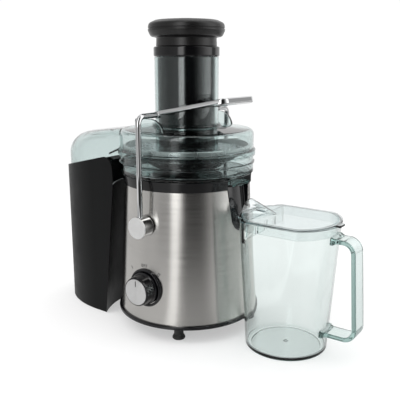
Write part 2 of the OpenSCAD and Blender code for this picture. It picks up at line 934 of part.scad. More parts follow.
module bearing_room(z, h) {
  translate([0, 0, z])
    cylinder(r = bearing_r + play, h = h);
  translate([0, 0, z - 20])
    cylinder(r = shaft_r + 1.5, h = h + 40);
}

module lower_bracket() {
  arm_z = lower_bracket_z + 4;
  post_h = stack_low_z - arm_z - winding_h - 0.5;
  color("#8d9093")
    about_axis()
      difference() {
        union() {
          bearing_seat(lower_bracket_z, 12);
          translate([-8, -bolt_y - 6, arm_z])
            cube([16, 2 * bolt_y + 12, 5]);
          translate([-31, -7, arm_z])
            cube([62, 14, 5]);
          for (y = [-bolt_y, bolt_y])
            translate([0, y, arm_z])
              cylinder(r = 5, h = stack_low_z - arm_z - play);
        }
        bearing_room(lower_bracket_z + 3, 20);
        for (y = [-bolt_y, bolt_y])
          translate([0, y, arm_z - 1])
            cylinder(r = bolt_r + play, h = stack_low_z);
      }
}

module upper_bracket() {
  color("#8d9093")
    about_axis()
      difference() {
        union() {
          bearing_seat(upper_bracket_z, 11);
          for (a = [45, 135])
            rotate([0, 0, a])
              translate([-mount_circle_r - 7, -6, upper_bracket_z])
                cube([2 * mount_circle_r + 14, 12, 4]);
          for (y = [-bolt_y, bolt_y])
            translate([-6, min(y, 0), upper_bracket_z])
              cube([12, bolt_y, 4]);
          for (y = [-bolt_y, bolt_y])
            translate([0, y, stack_top_z + play])
              cylinder(r = 4.4, h = upper_bracket_z - stack_top_z + 4);
        }
        translate([0, 0, upper_bracket_z + 1])
          cylinder(r = bearing_r + play, h = 20);
        translate([0, 0, upper_bracket_z - 1])
          cylinder(r = shaft_r + 1.5, h = 20);
        for (y = [-bolt_y, bolt_y])
          translate([0, y, stack_top_z])
            cylinder(r = bolt_r + play, h = upper_bracket_z);
        each_mount()
          translate([0, 0, upper_bracket_z - 1])
            cylinder(r = 3.6, h = 6);
      }
}

module motor_bolts() {
  low_z = lower_bracket_z + 4;
  color("#c4c6c8")
    about_axis()
      for (y = [-bolt_y, bolt_y])
        translate([0, y, low_z - 3.2]) {
          cylinder(r = 4, h = 3.2, $fn = 6);
          cylinder(r = bolt_r, h = upper_bracket_z + 4 - low_z + 8);
          translate([0, 0, upper_bracket_z + 4 - low_z + 3.2])
            cylinder(r = 3.8, h = 3, $fn = 6);
        }
}

module rubber_mounts() {
  color("#1d1d1d")
    about_axis()
      each_mount()
        translate([0, 0, upper_bracket_z - 2])
          rotate_extrude()
            polygon([
              [leg_screw_r + play, 0],
              [6, 0],
              [6, 2 - play],
              [3.5, 2 - play],
              [3.5, 6 + play],
              [6, 6 + play],
              [6, 8],
              [leg_screw_r + play, 8]
            ]);
}

module mount_screws() {
  color("#c4c6c8")
    about_axis()
      each_mount()
        translate([0, 0, upper_bracket_z - 2 - screw_head_h]) {
          cylinder(r = screw_head_r, h = screw_head_h);
          cylinder(r = leg_screw_r, h = mount_screw_len);
        }
}

module brush_holders() {
  color("#2b2420")
    about_axis()
      for (s = [0, 180])
        rotate([0, 0, s])
          difference() {
            translate([bearing_r + 4, -6, lower_bracket_z + 9 + play])
              cube([16, 12, brush_z + 5.5 - lower_bracket_z - 9]);
            translate([commutator_r, -3.6, brush_z - 3.6])
              cube([20, 7.2, 7.2]);
          }
}

module carbon_brushes() {
  color("#3a3a3c")
    about_axis()
      for (s = [0, 180])
        rotate([0, 0, s])
          translate([commutator_r + 0.4, -3.4, brush_z - 3.4])
            cube([14, 6.8, 6.8]);
}

module motor_shaft() {
  color("#cdd0d3")
    about_axis()
      translate([0, 0, lower_bracket_z + 2])
        cylinder(r = shaft_r, h = coupling_z + 8 - lower_bracket_z - 2);
}

module armature_core() {
  color("#77797b")
    about_axis()
      difference() {
        translate([0, 0, stack_low_z])
          cylinder(r = armature_r, h = stack_h);
        translate([0, 0, stack_low_z - 1])
          cylinder(r = shaft_r, h = stack_h + 2);
        for (k = [0:11])
          rotate([0, 0, 30 * k])
            translate([armature_r - 7, -1.6, stack_low_z - 1])
              cube([8, 3.2, stack_h + 2]);
      }
}

module armature_windings() {
  end_h = winding_h - 2;
  color("#b5602c")
    about_axis() {
      for (z = [stack_low_z - end_h, stack_top_z])
        translate([0, 0, z])
          ring(armature_r - 3, shaft_r, end_h);
      for (k = [0:11])
        rotate([0, 0, 30 * k])
          translate([armature_r - 6.8, -1.4, stack_low_z - 0.5])
            cube([5, 2.8, stack_h + 1]);
    }
}

module commutator() {
  color("#b87440")
    about_axis()
      translate([0, 0, commutator_z])
        difference() {
          cylinder(r = commutator_r, h = commutator_h);
          translate([0, 0, -1])
            cylinder(r = shaft_r, h = commutator_h + 2);
          for (k = [0:23])
            rotate([0, 0, 15 * k])
              translate([commutator_r - 1.2, -0.35, -1])
                cube([2, 0.7, commutator_h - 2]);
        }
}

module cooling_fan() {
  color("#d9d6cb")
    about_axis()
      translate([0, 0, fan_z])
        difference() {
          union() {
            cylinder(r = fan_r, h = 1.8);
            cylinder(r = 9, h = fan_h);
            for (k = [0:10])
              rotate([0, 0, k * 360 / 11])
                translate([8, -0.9, 1])
                  cube([fan_r - 9, 1.8, fan_h - 1]);
          }
          translate([0, 0, -1])
            cylinder(r = shaft_r, h = fan_h + 2);
        }
}

// ---- Drive and basket ----

// Lobed outline of the drive, grown by add.
module drive_outline(add) {
  circle(r = coupling_r - 2.5 + add);
  for (k = [0:5])
    rotate(60 * k)
      translate([0, -2 - add])
        square([coupling_r + add, 4 + 2 * add]);
}

module drive_coupling() {
  color("#1c1c1e")
    about_axis()
      difference() {
        translate([0, 0, coupling_z]) {
          cylinder(r = coupling_r + 2, h = 4);
          linear_extrude(height = coupling_h)
            drive_outline(0);
        }
        translate([0, 0, coupling_z - 1])
          cylinder(r = shaft_r, h = 9);
      }
}

module basket_hub() {
  low_z = coupling_z + 4 + play;
  color("#16181a")
    about_axis()
      difference() {
        union() {
          translate([0, 0, low_z])
            cylinder(r = coupling_r + 6, h = basket_z - low_z + 2);
          translate([0, 0, basket_z])
            rotate_extrude()
              polygon([
                [0, 0],
                [basket_foot_r - 4, 0],
                [basket_foot_r + 1.2, 2.6],
                [basket_foot_r + 1.2, 5],
                [basket_foot_r, 5],
                [basket_foot_r, 3],
                [0, 3]
              ]);
          translate([0, 0, basket_z])
            cylinder(r = 5, h = 5.5);
        }
        translate([0, 0, low_z - 1])
          linear_extrude(height = coupling_z + coupling_h + 1.3 - low_z)
            drive_outline(0.25);
      }
}

module grater_disc() {
  tooth = 1.1;
  color("#cfd2d4")
    about_axis()
      translate([0, 0, basket_z + 3 + play])
        difference() {
          union() {
            cylinder(r = basket_foot_r - 0.6, h = 0.8);
            for (row = [0:tooth_rows - 1])
              for (k = [0:7 + 4 * row])
                rotate([0, 0, (k + row / 2) * 360 / (8 + 4 * row)])
                  translate([14 + row * 9, -tooth, 0])
                    rotate([0, -20, 0])
                      cube([tooth, 2 * tooth, 2.8]);
          }
          translate([0, 0, -1])
            cylinder(r = 5 + play, h = 3);
        }
}

// Radius of the screen at height z, from the grater to the rim.
function screen_r(z) = basket_foot_r + 1.6
  + (basket_r - 4.4 - basket_foot_r) * (z - basket_z - 3) / (rim_ring_z - basket_z - 1);

module filter_screen() {
  low_z = basket_z + 5.1;
  top_z = rim_ring_z + 2;
  color("#c3c7c9")
    about_axis()
      difference() {
        rotate_extrude()
          polygon([
            [screen_r(low_z) - screen_t, low_z],
            [screen_r(low_z), low_z],
            [screen_r(top_z), top_z],
            [screen_r(top_z) - screen_t, top_z]
          ]);
        for (row = [0:1])
          for (k = [0:23])
            rotate([0, 0, 15 * k + 7.5 * row])
              translate([screen_r(low_z + 5 + 7 * row) - screen_t / 2, 0, low_z + 3 + 7 * row])
                cylinder(r = 1.3, h = 4, $fn = 24);
      }
}

module basket_rim() {
  color("#b4b8ba")
    about_axis()
      translate([0, 0, rim_ring_z])
        rotate_extrude()
          polygon([
            [screen_r(rim_ring_z + 2) + play, 2],
            [basket_r - 1, 0],
            [basket_r, 1],
            [basket_r, rim_ring_h - 1],
            [basket_r - 1, rim_ring_h],
            [basket_r - 3, rim_ring_h],
            [screen_r(rim_ring_z + 2) - screen_t, 2.05 + play],
            [screen_r(rim_ring_z + 2) + play, 2.05 + play]
          ]);
}

// ---- Knob and switch ----

module knob_bezel() {
  face_y = shell_r(knob_z) + 2.6;
  color("#0e0e10")
    about_axis()
      difference() {
        translate([0, -face_y, knob_z])
          rotate([-90, 0, 0])
            rotate_extrude()
              polygon([
                [knob_face_r + 5, 3.2],
                [knob_face_r + 5, 0.8],
                [knob_face_r + 5.6, 0],
                [bezel_r - 1.6, 0],
                [bezel_r, 1.6],
                [bezel_r, 9],
                [6, 9],
                [6, 3.2]
              ]);
        cylinder(r1 = shell_r(0) + play, r2 = shell_r(shell_top_z) + play, h = shell_top_z, $fn = 360);
      }
}

module rotary_switch() {
  color("#e6e3da")
    about_axis()
      difference() {
        translate([-15, -shell_r(knob_z) + 8, knob_z - 15])
          cube([30, 20, 30]);
        bar_y(3.2 + play, -rim_r, -shell_r(knob_z) + 20, knob_z);
      }
}

module switch_spindle() {
  color("#b9b6ad")
    about_axis()
      bar_y(3.2, -knob_face_y + 5, -shell_r(knob_z) + 19, knob_z);
}

module knob() {
  skirt_y = shell_r(knob_z - knob_face_r - 5) + slip;
  top = knob_face_y - 1.2;
  color("#0f1013")
    about_axis()
      difference() {
        translate([0, 0, knob_z])
          rotate([90, 0, 0])
            rotate_extrude()
              polygon([
                [0, skirt_y],
                [knob_face_r + 4.2, skirt_y],
                [knob_face_r + 4.2, skirt_y + 3.6],
                [knob_face_r + 3.2, skirt_y + 4.8],
                [knob_face_r + 2.2, skirt_y + 5.2],
                [knob_face_r + 1.7, top - 1.4],
                [knob_face_r + 1.1, top],
                [knob_face_r + 0.1, top + 0.6],
                [knob_face_r + 0.1, top - 0.6],
                [0, top - 0.6]
              ]);
        bar_y(3.2, -knob_face_y + 4.9, 0, knob_z);
      }
}

module knob_face() {
  top = knob_face_y - 1.2;
  color("#c9cacb")
    about_axis()
      difference() {
        translate([0, 0, knob_z])
          rotate([90, 0, 0])
            translate([0, 0, top - 0.6])
              cylinder(r1 = knob_face_r, r2 = knob_face_r - 0.4, h = 1.8);
        translate([-0.7, -knob_face_y - 1, knob_z + 7])
          cube([1.4, 1.6, 7.5]);
      }
}

// ---- Bail ----

// Half of the bail: a rod that rises from the hub, bends and runs inward to the crossbar.
module bail_rod() {
  low_z = bail_z + pin_r + 1.5;
  rise = rod_z - rod_bend_r - low_z;
  translate([0, -bail_arm_y, low_z])
    cylinder(r = rod_r, h = rise);
  translate([0, -bail_arm_y + rod_bend_r, rod_z - rod_bend_r])
    rotate([0, -90, 0])
      rotate([0, 0, 270])
        rotate_extrude(angle = 90)
          translate([rod_bend_r, 0])
            circle(r = rod_r);
  bar_y(rod_r, -bail_arm_y + rod_bend_r, -rod_end_y, rod_z);
}

module bail_rods() {
  color("#d6d8da")
    about_axis()
      both_sides()
        bail_rod();
}

module crossbar_outline() {
  corner_r = 10;
  room_r = chute_r + 6;
  far_y = 34;
  difference() {
    hull() {
      for (s = [-1, 1]) {
        translate([crossbar_reach - corner_r, s * (far_y - corner_r)])
          circle(r = corner_r);
        translate([2, s * (crossbar_end_y - 4)])
          circle(r = 4);
      }
    }
    circle(r = room_r);
    translate([crossbar_reach - 18 - 26, 0])
      circle(r = 26);
    translate([-30, -room_r])
      square([30, 2 * room_r]);
  }
}

module bail_crossbar() {
  color("#d6d8da")
    about_axis()
      difference() {
        union() {
          translate([0, 0, rod_z + crossbar_raise])
            rotate([0, -crossbar_tilt, 0])
              translate([0, 0, -crossbar_t / 2])
                linear_extrude(height = crossbar_t)
                  crossbar_outline();
          translate([0, 0, rod_z + crossbar_raise])
            rotate([0, -crossbar_tilt, 0])
              translate([0, 0, -crossbar_t / 2 - crossbar_lip])
                linear_extrude(height = crossbar_lip + 1)
                  intersection() {
                    crossbar_outline();
                    translate([crossbar_reach - 9, -60])
                      square([20, 120]);
                  }
          both_sides()
            bar_y(rod_r + 1, -crossbar_end_y + 0.5, -rod_end_y + 0.5, rod_z);
        }
        both_sides()
          bar_y(rod_r + play, -bail_arm_y, -rod_end_y + play, rod_z);
      }
}

module bail_hubs() {
  color("#d6d8da")
    about_axis()
      both_sides()
        difference() {
          translate([0, 0, bail_z])
            rotate([90, 0, 0])
              rotate_extrude()
                polygon([
                  [pin_r, hub_y],
                  [hub_r - 1, hub_y],
                  [hub_r, hub_y + 1],
                  [hub_r, hub_face_y - hub_cap_t],
                  [0, hub_face_y - hub_cap_t],
                  [0, hub_face_y - 4],
                  [pin_r, hub_face_y - 4]
                ]);
          translate([0, -bail_arm_y, bail_z + pin_r + 1.4])
            cylinder(r = rod_r + play, h = 20);
        }
}

module hub_caps() {
  color("#dfe0e1")
    about_axis()
      both_sides()
        translate([0, 0, bail_z])
          rotate([90, 0, 0])
            translate([0, 0, hub_face_y - hub_cap_t + play])
              rotate_extrude()
                polygon([
                  [0, 0],
                  [hub_r, 0],
                  [hub_r, hub_cap_t - 0.9],
                  [hub_r - 0.8, hub_cap_t - play],
                  [0, hub_cap_t - play]
                ]);
}

module pivot_pins() {
  color("#a9acaf")
    about_axis()
      both_sides() {
        bar_y(pin_r, -hub_face_y + 4, -tab_y + 9, bail_z);
        bar_y(pin_r + 2, -tab_y + slip, -tab_y + 1.6, bail_z);
      }
}

// Cam radius, falling steadily as the bail swings down.
function cam_r(a) = cam_low_r + cam_fall * (1 - a / cam_sweep);

module interlock_cam() {
  y0 = tab_y - 2 - cam_t;
  color("#e2dfd6")
    about_axis()
      translate([0, y0, bail_z])
        rotate([-90, 0, 0])
          difference() {
            linear_extrude(height = cam_t)
              rotate(180)
                polygon(concat(
                  [for (a = [-20:10:0]) cam_r(0) * [cos(a), -sin(a)]],
                  [for (a = [5:5:cam_sweep]) cam_r(a) * [cos(a), -sin(a)]],
                  [for (a = [60:20:320]) cam_low_r * [cos(a), -sin(a)]]
                ));
            translate([0, 0, -1])
              cylinder(r = pin_r, h = 9);
          }
}

module interlock_switch() {
  color("#23262a")
    about_axis()
      difference() {
        translate([-plunger_x - 3.4 - 15, tab_y - 8, bail_z - 8])
          cube([15, 8 - play, 20]);
        translate([-plunger_x - 12, tab_y - 4.5, bail_z])
          rotate([0, 90, 0])
            cylinder(r = 1.6 + play, h = 12);
      }
}

module interlock_plunger() {
  color("#c23b2c")
    about_axis()
      translate([-plunger_x - 9, tab_y - 4.5, bail_z])
        rotate([0, 90, 0]) {
          cylinder(r = 1.6, h = 7.6);
          translate([0, 0, 7.6])
            cylinder(r1 = 1.6, r2 = 0.7, h = 1.4);
        }
}

// ---- Jug ----

function jug_r(z) = jug_foot_r + (jug_rim_r - jug_foot_r) * z / jug_h;

module about_jug() {
  about_axis()
    translate([jug_x, 0, 0])
      children();
}

// Plan of the jug: a round of radius r with two flat sides.
module jug_plan(r, flat) {
  intersection() {
    circle(r = r);
    square([2 * r + 2, 2 * flat], center = true);
  }
}

// Room between the two flat sides.
module flat_slab(flat) {
  translate([-2 * jug_rim_r, -flat, -1])
    cube([4 * jug_rim_r, 2 * flat, jug_h + 20]);
}

// Pouring corner at the end of a flat side, drawn in by the given amount.
module pour_corner(r, flat, inset) {
  x = sqrt(r * r - flat * flat);
  polygon([
    [-x - 3.6 + 2 * inset, -flat + 0.6 + inset],
    [-x + 14, -flat + inset],
    [-x + 14, -flat + 8],
    [-x - 8, -flat + 14],
    [-x - 9.5 + 2 * inset, -flat + 8.4]
  ]);
}

module jug_body() {
  foot_round = 3;
  floor_z = 3.6;
  in_flat = jug_flat_y - jug_wall;
  color("#b9cfca", 0.4)
    about_jug()
      difference() {
        union() {
          intersection() {
            rotate_extrude()
              polygon(concat(
                [[0, 0.8], [jug_foot_r - 8, 0.8], [jug_foot_r - 9 + 2, 0]],
                arc(jug_foot_r - foot_round, foot_round, foot_round, -90, 0, 5),
                [[jug_rim_r, jug_h], [0, jug_h]]
              ));
            flat_slab(jug_flat_y);
          }
          both_sides()
            translate([0, 0, beak_z])
              linear_extrude(height = jug_h - beak_z)
                pour_corner(jug_rim_r, jug_flat_y, 0);
        }
        intersection() {
          rotate_extrude()
            polygon(concat(
              [[0, floor_z]],
              arc(jug_r(floor_z + 3) - jug_wall - 3, floor_z + 3, 3, -90, 0, 4),
              [[jug_rim_r - jug_wall, jug_h + 0.01], [0, jug_h + 0.01]]
            ));
          flat_slab(in_flat);
        }
        both_sides()
          translate([0, 0, beak_z + 3])
            linear_extrude(height = jug_h)
              pour_corner(jug_rim_r, jug_flat_y, 1.4);
      }
}

module jug_handle() {
  low_in = jug_r(handle_low_z) - 0.3;
  top_in = jug_r(handle_top_z) - 0.3;
  lean = 6;
  bend = 16;
  t = handle_t;
  top_x = handle_reach - lean;
  outer = concat(
    [[top_in, handle_top_z]],
    arc(top_x - bend, handle_top_z - bend, bend, 90, 3, 8),
    arc(handle_reach - bend, handle_low_z - t + bend, bend, 3, -90, 8),
    [[low_in, handle_low_z - t]]
  );
  inner = concat(
    [[low_in, handle_low_z]],
    arc(handle_reach - bend, handle_low_z - t + bend, bend - t, -90, 3, 8),
    arc(top_x - bend, handle_top_z - bend, bend - t, 3, 90, 8),
    [[top_in, handle_top_z - t]]
  );
  color("#9dbdb6", 0.6)
    about_jug()
      difference() {
        rotate([90, 0, 0])
          translate([0, 0, -handle_w / 2])
            linear_extrude(height = handle_w)
              polygon(concat(outer, inner));
        cylinder(r1 = jug_foot_r + play, r2 = jug_rim_r + play, h = jug_h);
      }
}

module jug_lid() {
  plate_t = 2.6;
  lid_r = jug_rim_r + 1;
  lid_flat = jug_flat_y + 1;
  skirt_h = 11;
  skirt_r = jug_rim_r - jug_wall - 0.9;
  skirt_flat = jug_flat_y - jug_wall - 0.9;
  skirt_t = 1.8;
  z0 = jug_h + play;
  top_z = z0 + plate_t;
  // The dome is a cone about a line that lies below the plate.
  r1 = (dome_half_w * dome_half_w + dome_h * dome_h) / (2 * dome_h);
  drop = r1 - dome_h;
  r2 = drop - 1;
  color("#bcd3ce", 0.45)
    about_jug()
      difference() {
        union() {
          translate([0, 0, z0])
            linear_extrude(height = plate_t) {
              jug_plan(lid_r, lid_flat);
              both_sides()
                pour_corner(lid_r, lid_flat, 0);
              translate([lid_r - 6, -7])
                square([11, 14]);
            }
          translate([0, 0, z0 - skirt_h])
            linear_extrude(height = skirt_h + 1)
              difference() {
                jug_plan(skirt_r, skirt_flat);
                jug_plan(skirt_r - skirt_t, skirt_flat - skirt_t);
              }
          intersection() {
            translate([-dome_reach, 0, top_z - drop])
              rotate([0, 90, 0])
                cylinder(r1 = r1, r2 = r2, h = dome_len);
            translate([-2 * dome_reach, -r1, z0 + 0.5])
              cube([3 * dome_reach, 2 * r1, 3 * dome_h]);
          }
        }
        intersection() {
          translate([-dome_reach - 0.5, 0, top_z - drop])
            rotate([0, 90, 0])
              cylinder(r1 = r1 - 1.8, r2 = r2 - 1.8, h = dome_len);
          translate([-2 * dome_reach, -r1, top_z - 0.8])
            cube([3 * dome_reach, 2 * r1, 3 * dome_h]);
        }
        // Juice falls through the plate under the dome.
        translate([-dome_reach + 3, -10, z0 - 1])
          cube([16, 20, plate_t + 3]);
      }
}

module froth_separator() {
  z1 = jug_h;
  r = jug_rim_r - jug_wall - 3.4;
  flat = jug_flat_y - jug_wall - 3.4;
  depth = 20;
  x0 = -34;
  color("#bcd3ce", 0.45)
    about_jug()
      difference() {
        intersection() {
          translate([x0, -60, z1 - depth])
            cube([2, 120, depth]);
          linear_extrude(height = jug_h)
            jug_plan(r, flat);
        }
        for (k = [-1:1])
          translate([x0 - 1, k * 21 - 3, z1 - depth - 1])
            cube([4, 6, 12]);
      }
}

rubber_feet();
foot_screws();
base_plate();
steel_shell();
motor_deck();
spout_recess();
cord_gland();
cord_clamp();
terminal_block();
suppressor();
bowl();
lid();
feed_chute();
pusher_body();
pusher_cap();
pulp_container();
stator_core();
field_windings();
lower_bracket();
upper_bracket();
motor_bolts();
rubber_mounts();
mount_screws();
lower_bearing();
upper_bearing();
brush_holders();
carbon_brushes();
motor_shaft();
armature_core();
armature_windings();
commutator();
cooling_fan();
shaft_seal();
drive_coupling();
basket_hub();
grater_disc();
filter_screen();
basket_rim();
knob_bezel();
rotary_switch();
switch_spindle();
knob();
knob_face();
bail_rods();
bail_crossbar();
bail_hubs();
hub_caps();
pivot_pins();
interlock_cam();
interlock_switch();
interlock_plunger();
jug_body();
jug_handle();
jug_lid();
froth_separator();
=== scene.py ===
import math
from math import atan2, ceil, cos, pi, radians, sin, sqrt, tan

import bmesh
import bpy
import numpy as np
from mathutils import Matrix, Vector

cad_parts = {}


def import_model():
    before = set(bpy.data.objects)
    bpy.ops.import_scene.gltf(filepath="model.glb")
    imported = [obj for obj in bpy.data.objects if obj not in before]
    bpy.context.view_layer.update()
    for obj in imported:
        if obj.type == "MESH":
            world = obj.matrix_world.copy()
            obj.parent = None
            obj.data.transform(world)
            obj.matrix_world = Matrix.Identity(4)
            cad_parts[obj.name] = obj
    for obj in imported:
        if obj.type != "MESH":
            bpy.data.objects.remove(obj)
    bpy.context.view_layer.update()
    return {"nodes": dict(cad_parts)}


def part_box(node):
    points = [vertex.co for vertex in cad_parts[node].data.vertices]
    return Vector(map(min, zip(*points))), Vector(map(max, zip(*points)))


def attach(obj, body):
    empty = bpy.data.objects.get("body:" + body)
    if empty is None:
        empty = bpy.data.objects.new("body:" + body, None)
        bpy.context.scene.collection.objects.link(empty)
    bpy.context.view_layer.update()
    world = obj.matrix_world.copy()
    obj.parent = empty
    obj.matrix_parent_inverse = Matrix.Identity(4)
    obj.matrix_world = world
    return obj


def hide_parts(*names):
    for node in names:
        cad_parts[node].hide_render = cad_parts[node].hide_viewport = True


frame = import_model()
NODES = frame["nodes"]

# ---------------------------------------------------------------- measures
# Everything below is drawn in millimetres about the juicer's own upright axis, as the CAD is.
AX = sum(c[0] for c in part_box("motor_shaft")) / 2


def mm(node):
    """Lowest and highest corner of a CAD node in millimetres about the juicer's axis."""
    lo, hi = ([1000 * (x - AX), 1000 * y, 1000 * z] for x, y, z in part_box(node))
    return lo, hi


(_, _, SHELL_Z), (SHELL_LOW_R, _, SHELL_TOP_Z) = mm("steel_shell")
BOWL_HI, LID_HI, JUG_HI = (mm(n)[1] for n in ("bowl", "lid", "jug_body"))
CHUTE_LO, CHUTE_HI = mm("feed_chute")
BOWL_R = BOWL_HI[0] - 1.6
SHELL_TOP_R = BOWL_R - 4.1
BOWL_Z = mm("motor_deck")[1][2]
SEAT_Z = BOWL_HI[2]
SHOULDER_Z = SEAT_Z + 31
CHUTE_R = CHUTE_HI[0]
CHUTE_WALL = 2.6
KNOB_Z = (mm("knob_face")[0][2] + mm("knob_face")[1][2]) / 2
KNOB_FACE_Y = -mm("knob_face")[0][1]
BAIL_Z = (mm("hub_caps")[0][2] + mm("hub_caps")[1][2]) / 2
HUB_FACE_Y = mm("hub_caps")[1][1]
HUB_R = (mm("hub_caps")[1][2] - mm("hub_caps")[0][2]) / 2
ARM_Y = HUB_FACE_Y - 8
ROD_R = 3.5
ROD_Z = mm("bail_rods")[1][2] - ROD_R
PULP_LO, PULP_HI = mm("pulp_container")
JUG_H = JUG_HI[2]
JUG_FLAT = JUG_HI[1]
JUG_RIM_R = 61.8
JUG_FOOT_R = 50.6
JUG_WALL = 2.6
JUG_X = JUG_HI[0] - JUG_RIM_R


def shell_r(z):
    """Radius of the steel shell, which narrows upwards."""
    return SHELL_LOW_R + (SHELL_TOP_R - SHELL_LOW_R) * (z - SHELL_Z) / (SHELL_TOP_Z - SHELL_Z)


# ---------------------------------------------------------------- mesh tools
def rounded(points, n=5):
    """A closed outline; a point given as (x, y, r) has its corner rounded with radius r."""
    out, count = [], len(points)
    for i, point in enumerate(points):
        p = np.array(point[:2], float)
        r = point[2] if len(point) > 2 else 0
        a = np.array(points[i - 1][:2], float) - p
        b = np.array(points[(i + 1) % count][:2], float) - p
        la, lb = np.linalg.norm(a), np.linalg.norm(b)
        if r <= 0 or la < 1e-6 or lb < 1e-6:
            out.append(p)
            continue
        a, b = a / la, b / lb
        half = math.acos(max(-1, min(1, a @ b))) / 2
        if half > pi / 2 - 0.02:
            out.append(p)
            continue
        t = min(r / tan(half), 0.49 * la, 0.49 * lb)
        r = t * tan(half)
        mid = (a + b) / np.linalg.norm(a + b)
        c = p + mid * (r / sin(half))
        a0 = atan2(*(p + a * t - c)[::-1])
        a1 = atan2(*(p + b * t - c)[::-1])
        d = (a1 - a0 + pi) % (2 * pi) - pi
        k = max(2, int(ceil(abs(d) / (pi / 2) * n)))
        out += [c + r * np.array([cos(a0 + d * j / k), sin(a0 + d * j / k)]) for j in range(k + 1)]
    return out


def lathe(profile, seg=160, axis="Z", centre=(0, 0)):
    """A closed profile of (radius, height) turned about Z, or about an axis that runs towards -Y."""
    verts, faces, rings = [], [], []
    for r, h in profile:
        if abs(r) < 1e-6:
            rings.append([len(verts)] * seg)
            verts.append((0, 0, h))
        else:
            rings.append(list(range(len(verts), len(verts) + seg)))
            verts += [(r * cos(2 * pi * k / seg), r * sin(2 * pi * k / seg), h) for k in range(seg)]
    for i in range(len(rings)):
        a, b = rings[i], rings[(i + 1) % len(rings)]
        for k in range(seg):
            quad = [a[k], a[(k + 1) % seg], b[(k + 1) % seg], b[k]]
            face = [v for j, v in enumerate(quad) if v != quad[j - 1]]
            if len(face) > 2 and len(set(face)) > 2:
                faces.append(face)
    v = np.array(verts, float)
    if axis == "Y":
        v = np.stack([v[:, 0] + centre[0], -v[:, 2], v[:, 1] + centre[1]], 1)
    else:
        v = v + np.array([centre[0], centre[1], 0])
    return v, faces


def drum(radius, low, high, seg=160, axis="Z", centre=(0, 0)):
    """A round block from one height to another."""
    return lathe([(0, low), (radius, low), (radius, high), (0, high)], seg, axis, centre)


def rect(x0, y0, x1, y1, r, n=5):
    """A rectangle's outline with rounded corners."""
    return rounded([(x0, y0, r), (x1, y0, r), (x1, y1, r), (x0, y1, r)], n)


def arc(x, y, r, angles):
    """Points round a centre, at angles in degrees."""
    return [(x + r * cos(radians(a)), y + r * sin(radians(a))) for a in angles]


def both_sides(half):
    """Half an outline together with its mirror image in Y."""
    return half + [(x, -y, *r) for x, y, *r in half[::-1]]


def loft(loops, cap_start=True, cap_end=True):
    """Closed loops of equal length joined by faces, with flat caps."""
    n = len(loops[0])
    verts = np.concatenate([np.asarray(l, float) for l in loops])
    faces = []
    for i in range(len(loops) - 1):
        for k in range(n):
            faces.append([i * n + k, i * n + (k + 1) % n, (i + 1) * n + (k + 1) % n, (i + 1) * n + k])
    if cap_start:
        faces.append(list(range(n))[::-1])
    if cap_end:
        faces.append([(len(loops) - 1) * n + k for k in range(n)])
    return verts, faces


def prism(outline, z0, z1, edge=0.0, n=3):
    """An outline run from z0 to z1, with its upper and lower edges rounded by edge."""
    pts = np.array(outline, float)
    if edge <= 0:
        return loft([np.c_[pts, np.full(len(pts), z)] for z in (z0, z1)])
    area = 0.5 * np.sum(pts[:, 0] * np.roll(pts[:, 1], -1) - np.roll(pts[:, 0], -1) * pts[:, 1])
    d = np.roll(pts, -1, 0) - pts
    d /= np.maximum(np.linalg.norm(d, axis=1), 1e-9)[:, None]
    nrm = np.stack([d[:, 1], -d[:, 0]], 1) * (1 if area > 0 else -1)
    v = nrm + np.roll(nrm, 1, 0)
    v = v / np.maximum((v * v).sum(1) / 2, 0.35)[:, None]
    turns = [pi / 2 * j / n for j in range(n + 1)]
    steps = [(1 - sin(a), z0 + edge * (1 - cos(a))) for a in turns]
    steps += [(1 - cos(a), z1 - edge * (1 - sin(a))) for a in turns]
    return loft([np.c_[pts - v * edge * inset, np.full(len(pts), z)] for inset, z in steps])


def tube(path, radius, seg):
    """A round rod along a path, with softly rounded ends."""
    p = np.array(path, float)
    tang = np.gradient(p, axis=0)
    tang /= np.linalg.norm(tang, axis=1)[:, None]
    side = np.cross(tang[0], [0.31, 0.17, 0.93])
    side /= np.linalg.norm(side)
    loops = []
    for i, c in enumerate(p):
        side = side - tang[i] * (side @ tang[i])
        side /= np.linalg.norm(side)
        up = np.cross(tang[i], side)
        turns = [2 * pi * k / seg for k in range(seg)]
        ring = np.array([c + radius * (cos(t) * side + sin(t) * up) for t in turns])
        small = [c + f * (ring - c) for f in (0.72, 0.93)]
        if i == 0:
            loops += small + [ring + tang[i] * 0.35]
        elif i == len(p) - 1:
            loops += [ring - tang[i] * 0.35] + small[::-1]
        else:
            loops.append(ring)
    return loft(loops)


def box(lo, hi):
    """A block between two corners."""
    x0, y0, z0 = lo
    x1, y1, z1 = hi
    return prism([(x0, y0), (x1, y0), (x1, y1), (x0, y1)], z0, z1)


def hull(points):
    """The smallest convex form round some points."""
    bm = bmesh.new()
    for p in points:
        bm.verts.new(p)
    bmesh.ops.convex_hull(bm, input=bm.verts)
    loose = [v for v in bm.verts if not v.link_faces]
    bmesh.ops.delete(bm, geom=loose, context="VERTS")
    bm.verts.index_update()
    out = np.array([v.co[:] for v in bm.verts]), [[v.index for v in f.verts] for f in bm.faces]
    bm.free()
    return out


def moved(geo, offset):
    return np.array(geo[0], float) + np.array(offset, float), geo[1]


def mirrored(geo):
    return np.array(geo[0], float) * np.array([1, -1, 1]), [f[::-1] for f in geo[1]]


def facing(geo, x=0.0, y=0.0):
    """Stands a form up: what was drawn flat in X and Y now runs up in Z, and its height runs along Y."""
    v = np.array(geo[0], float)
    return np.stack([v[:, 0] + x, v[:, 2] + y, v[:, 1]], 1), geo[1]


def joined(*geos):
    """Several forms as one, without merging them."""
    verts, faces, base = [], [], 0
    for v, f in geos:
        verts.append(np.asarray(v, float))
        faces += [[i + base for i in face] for face in f]
        base += len(v)
    return np.concatenate(verts), faces


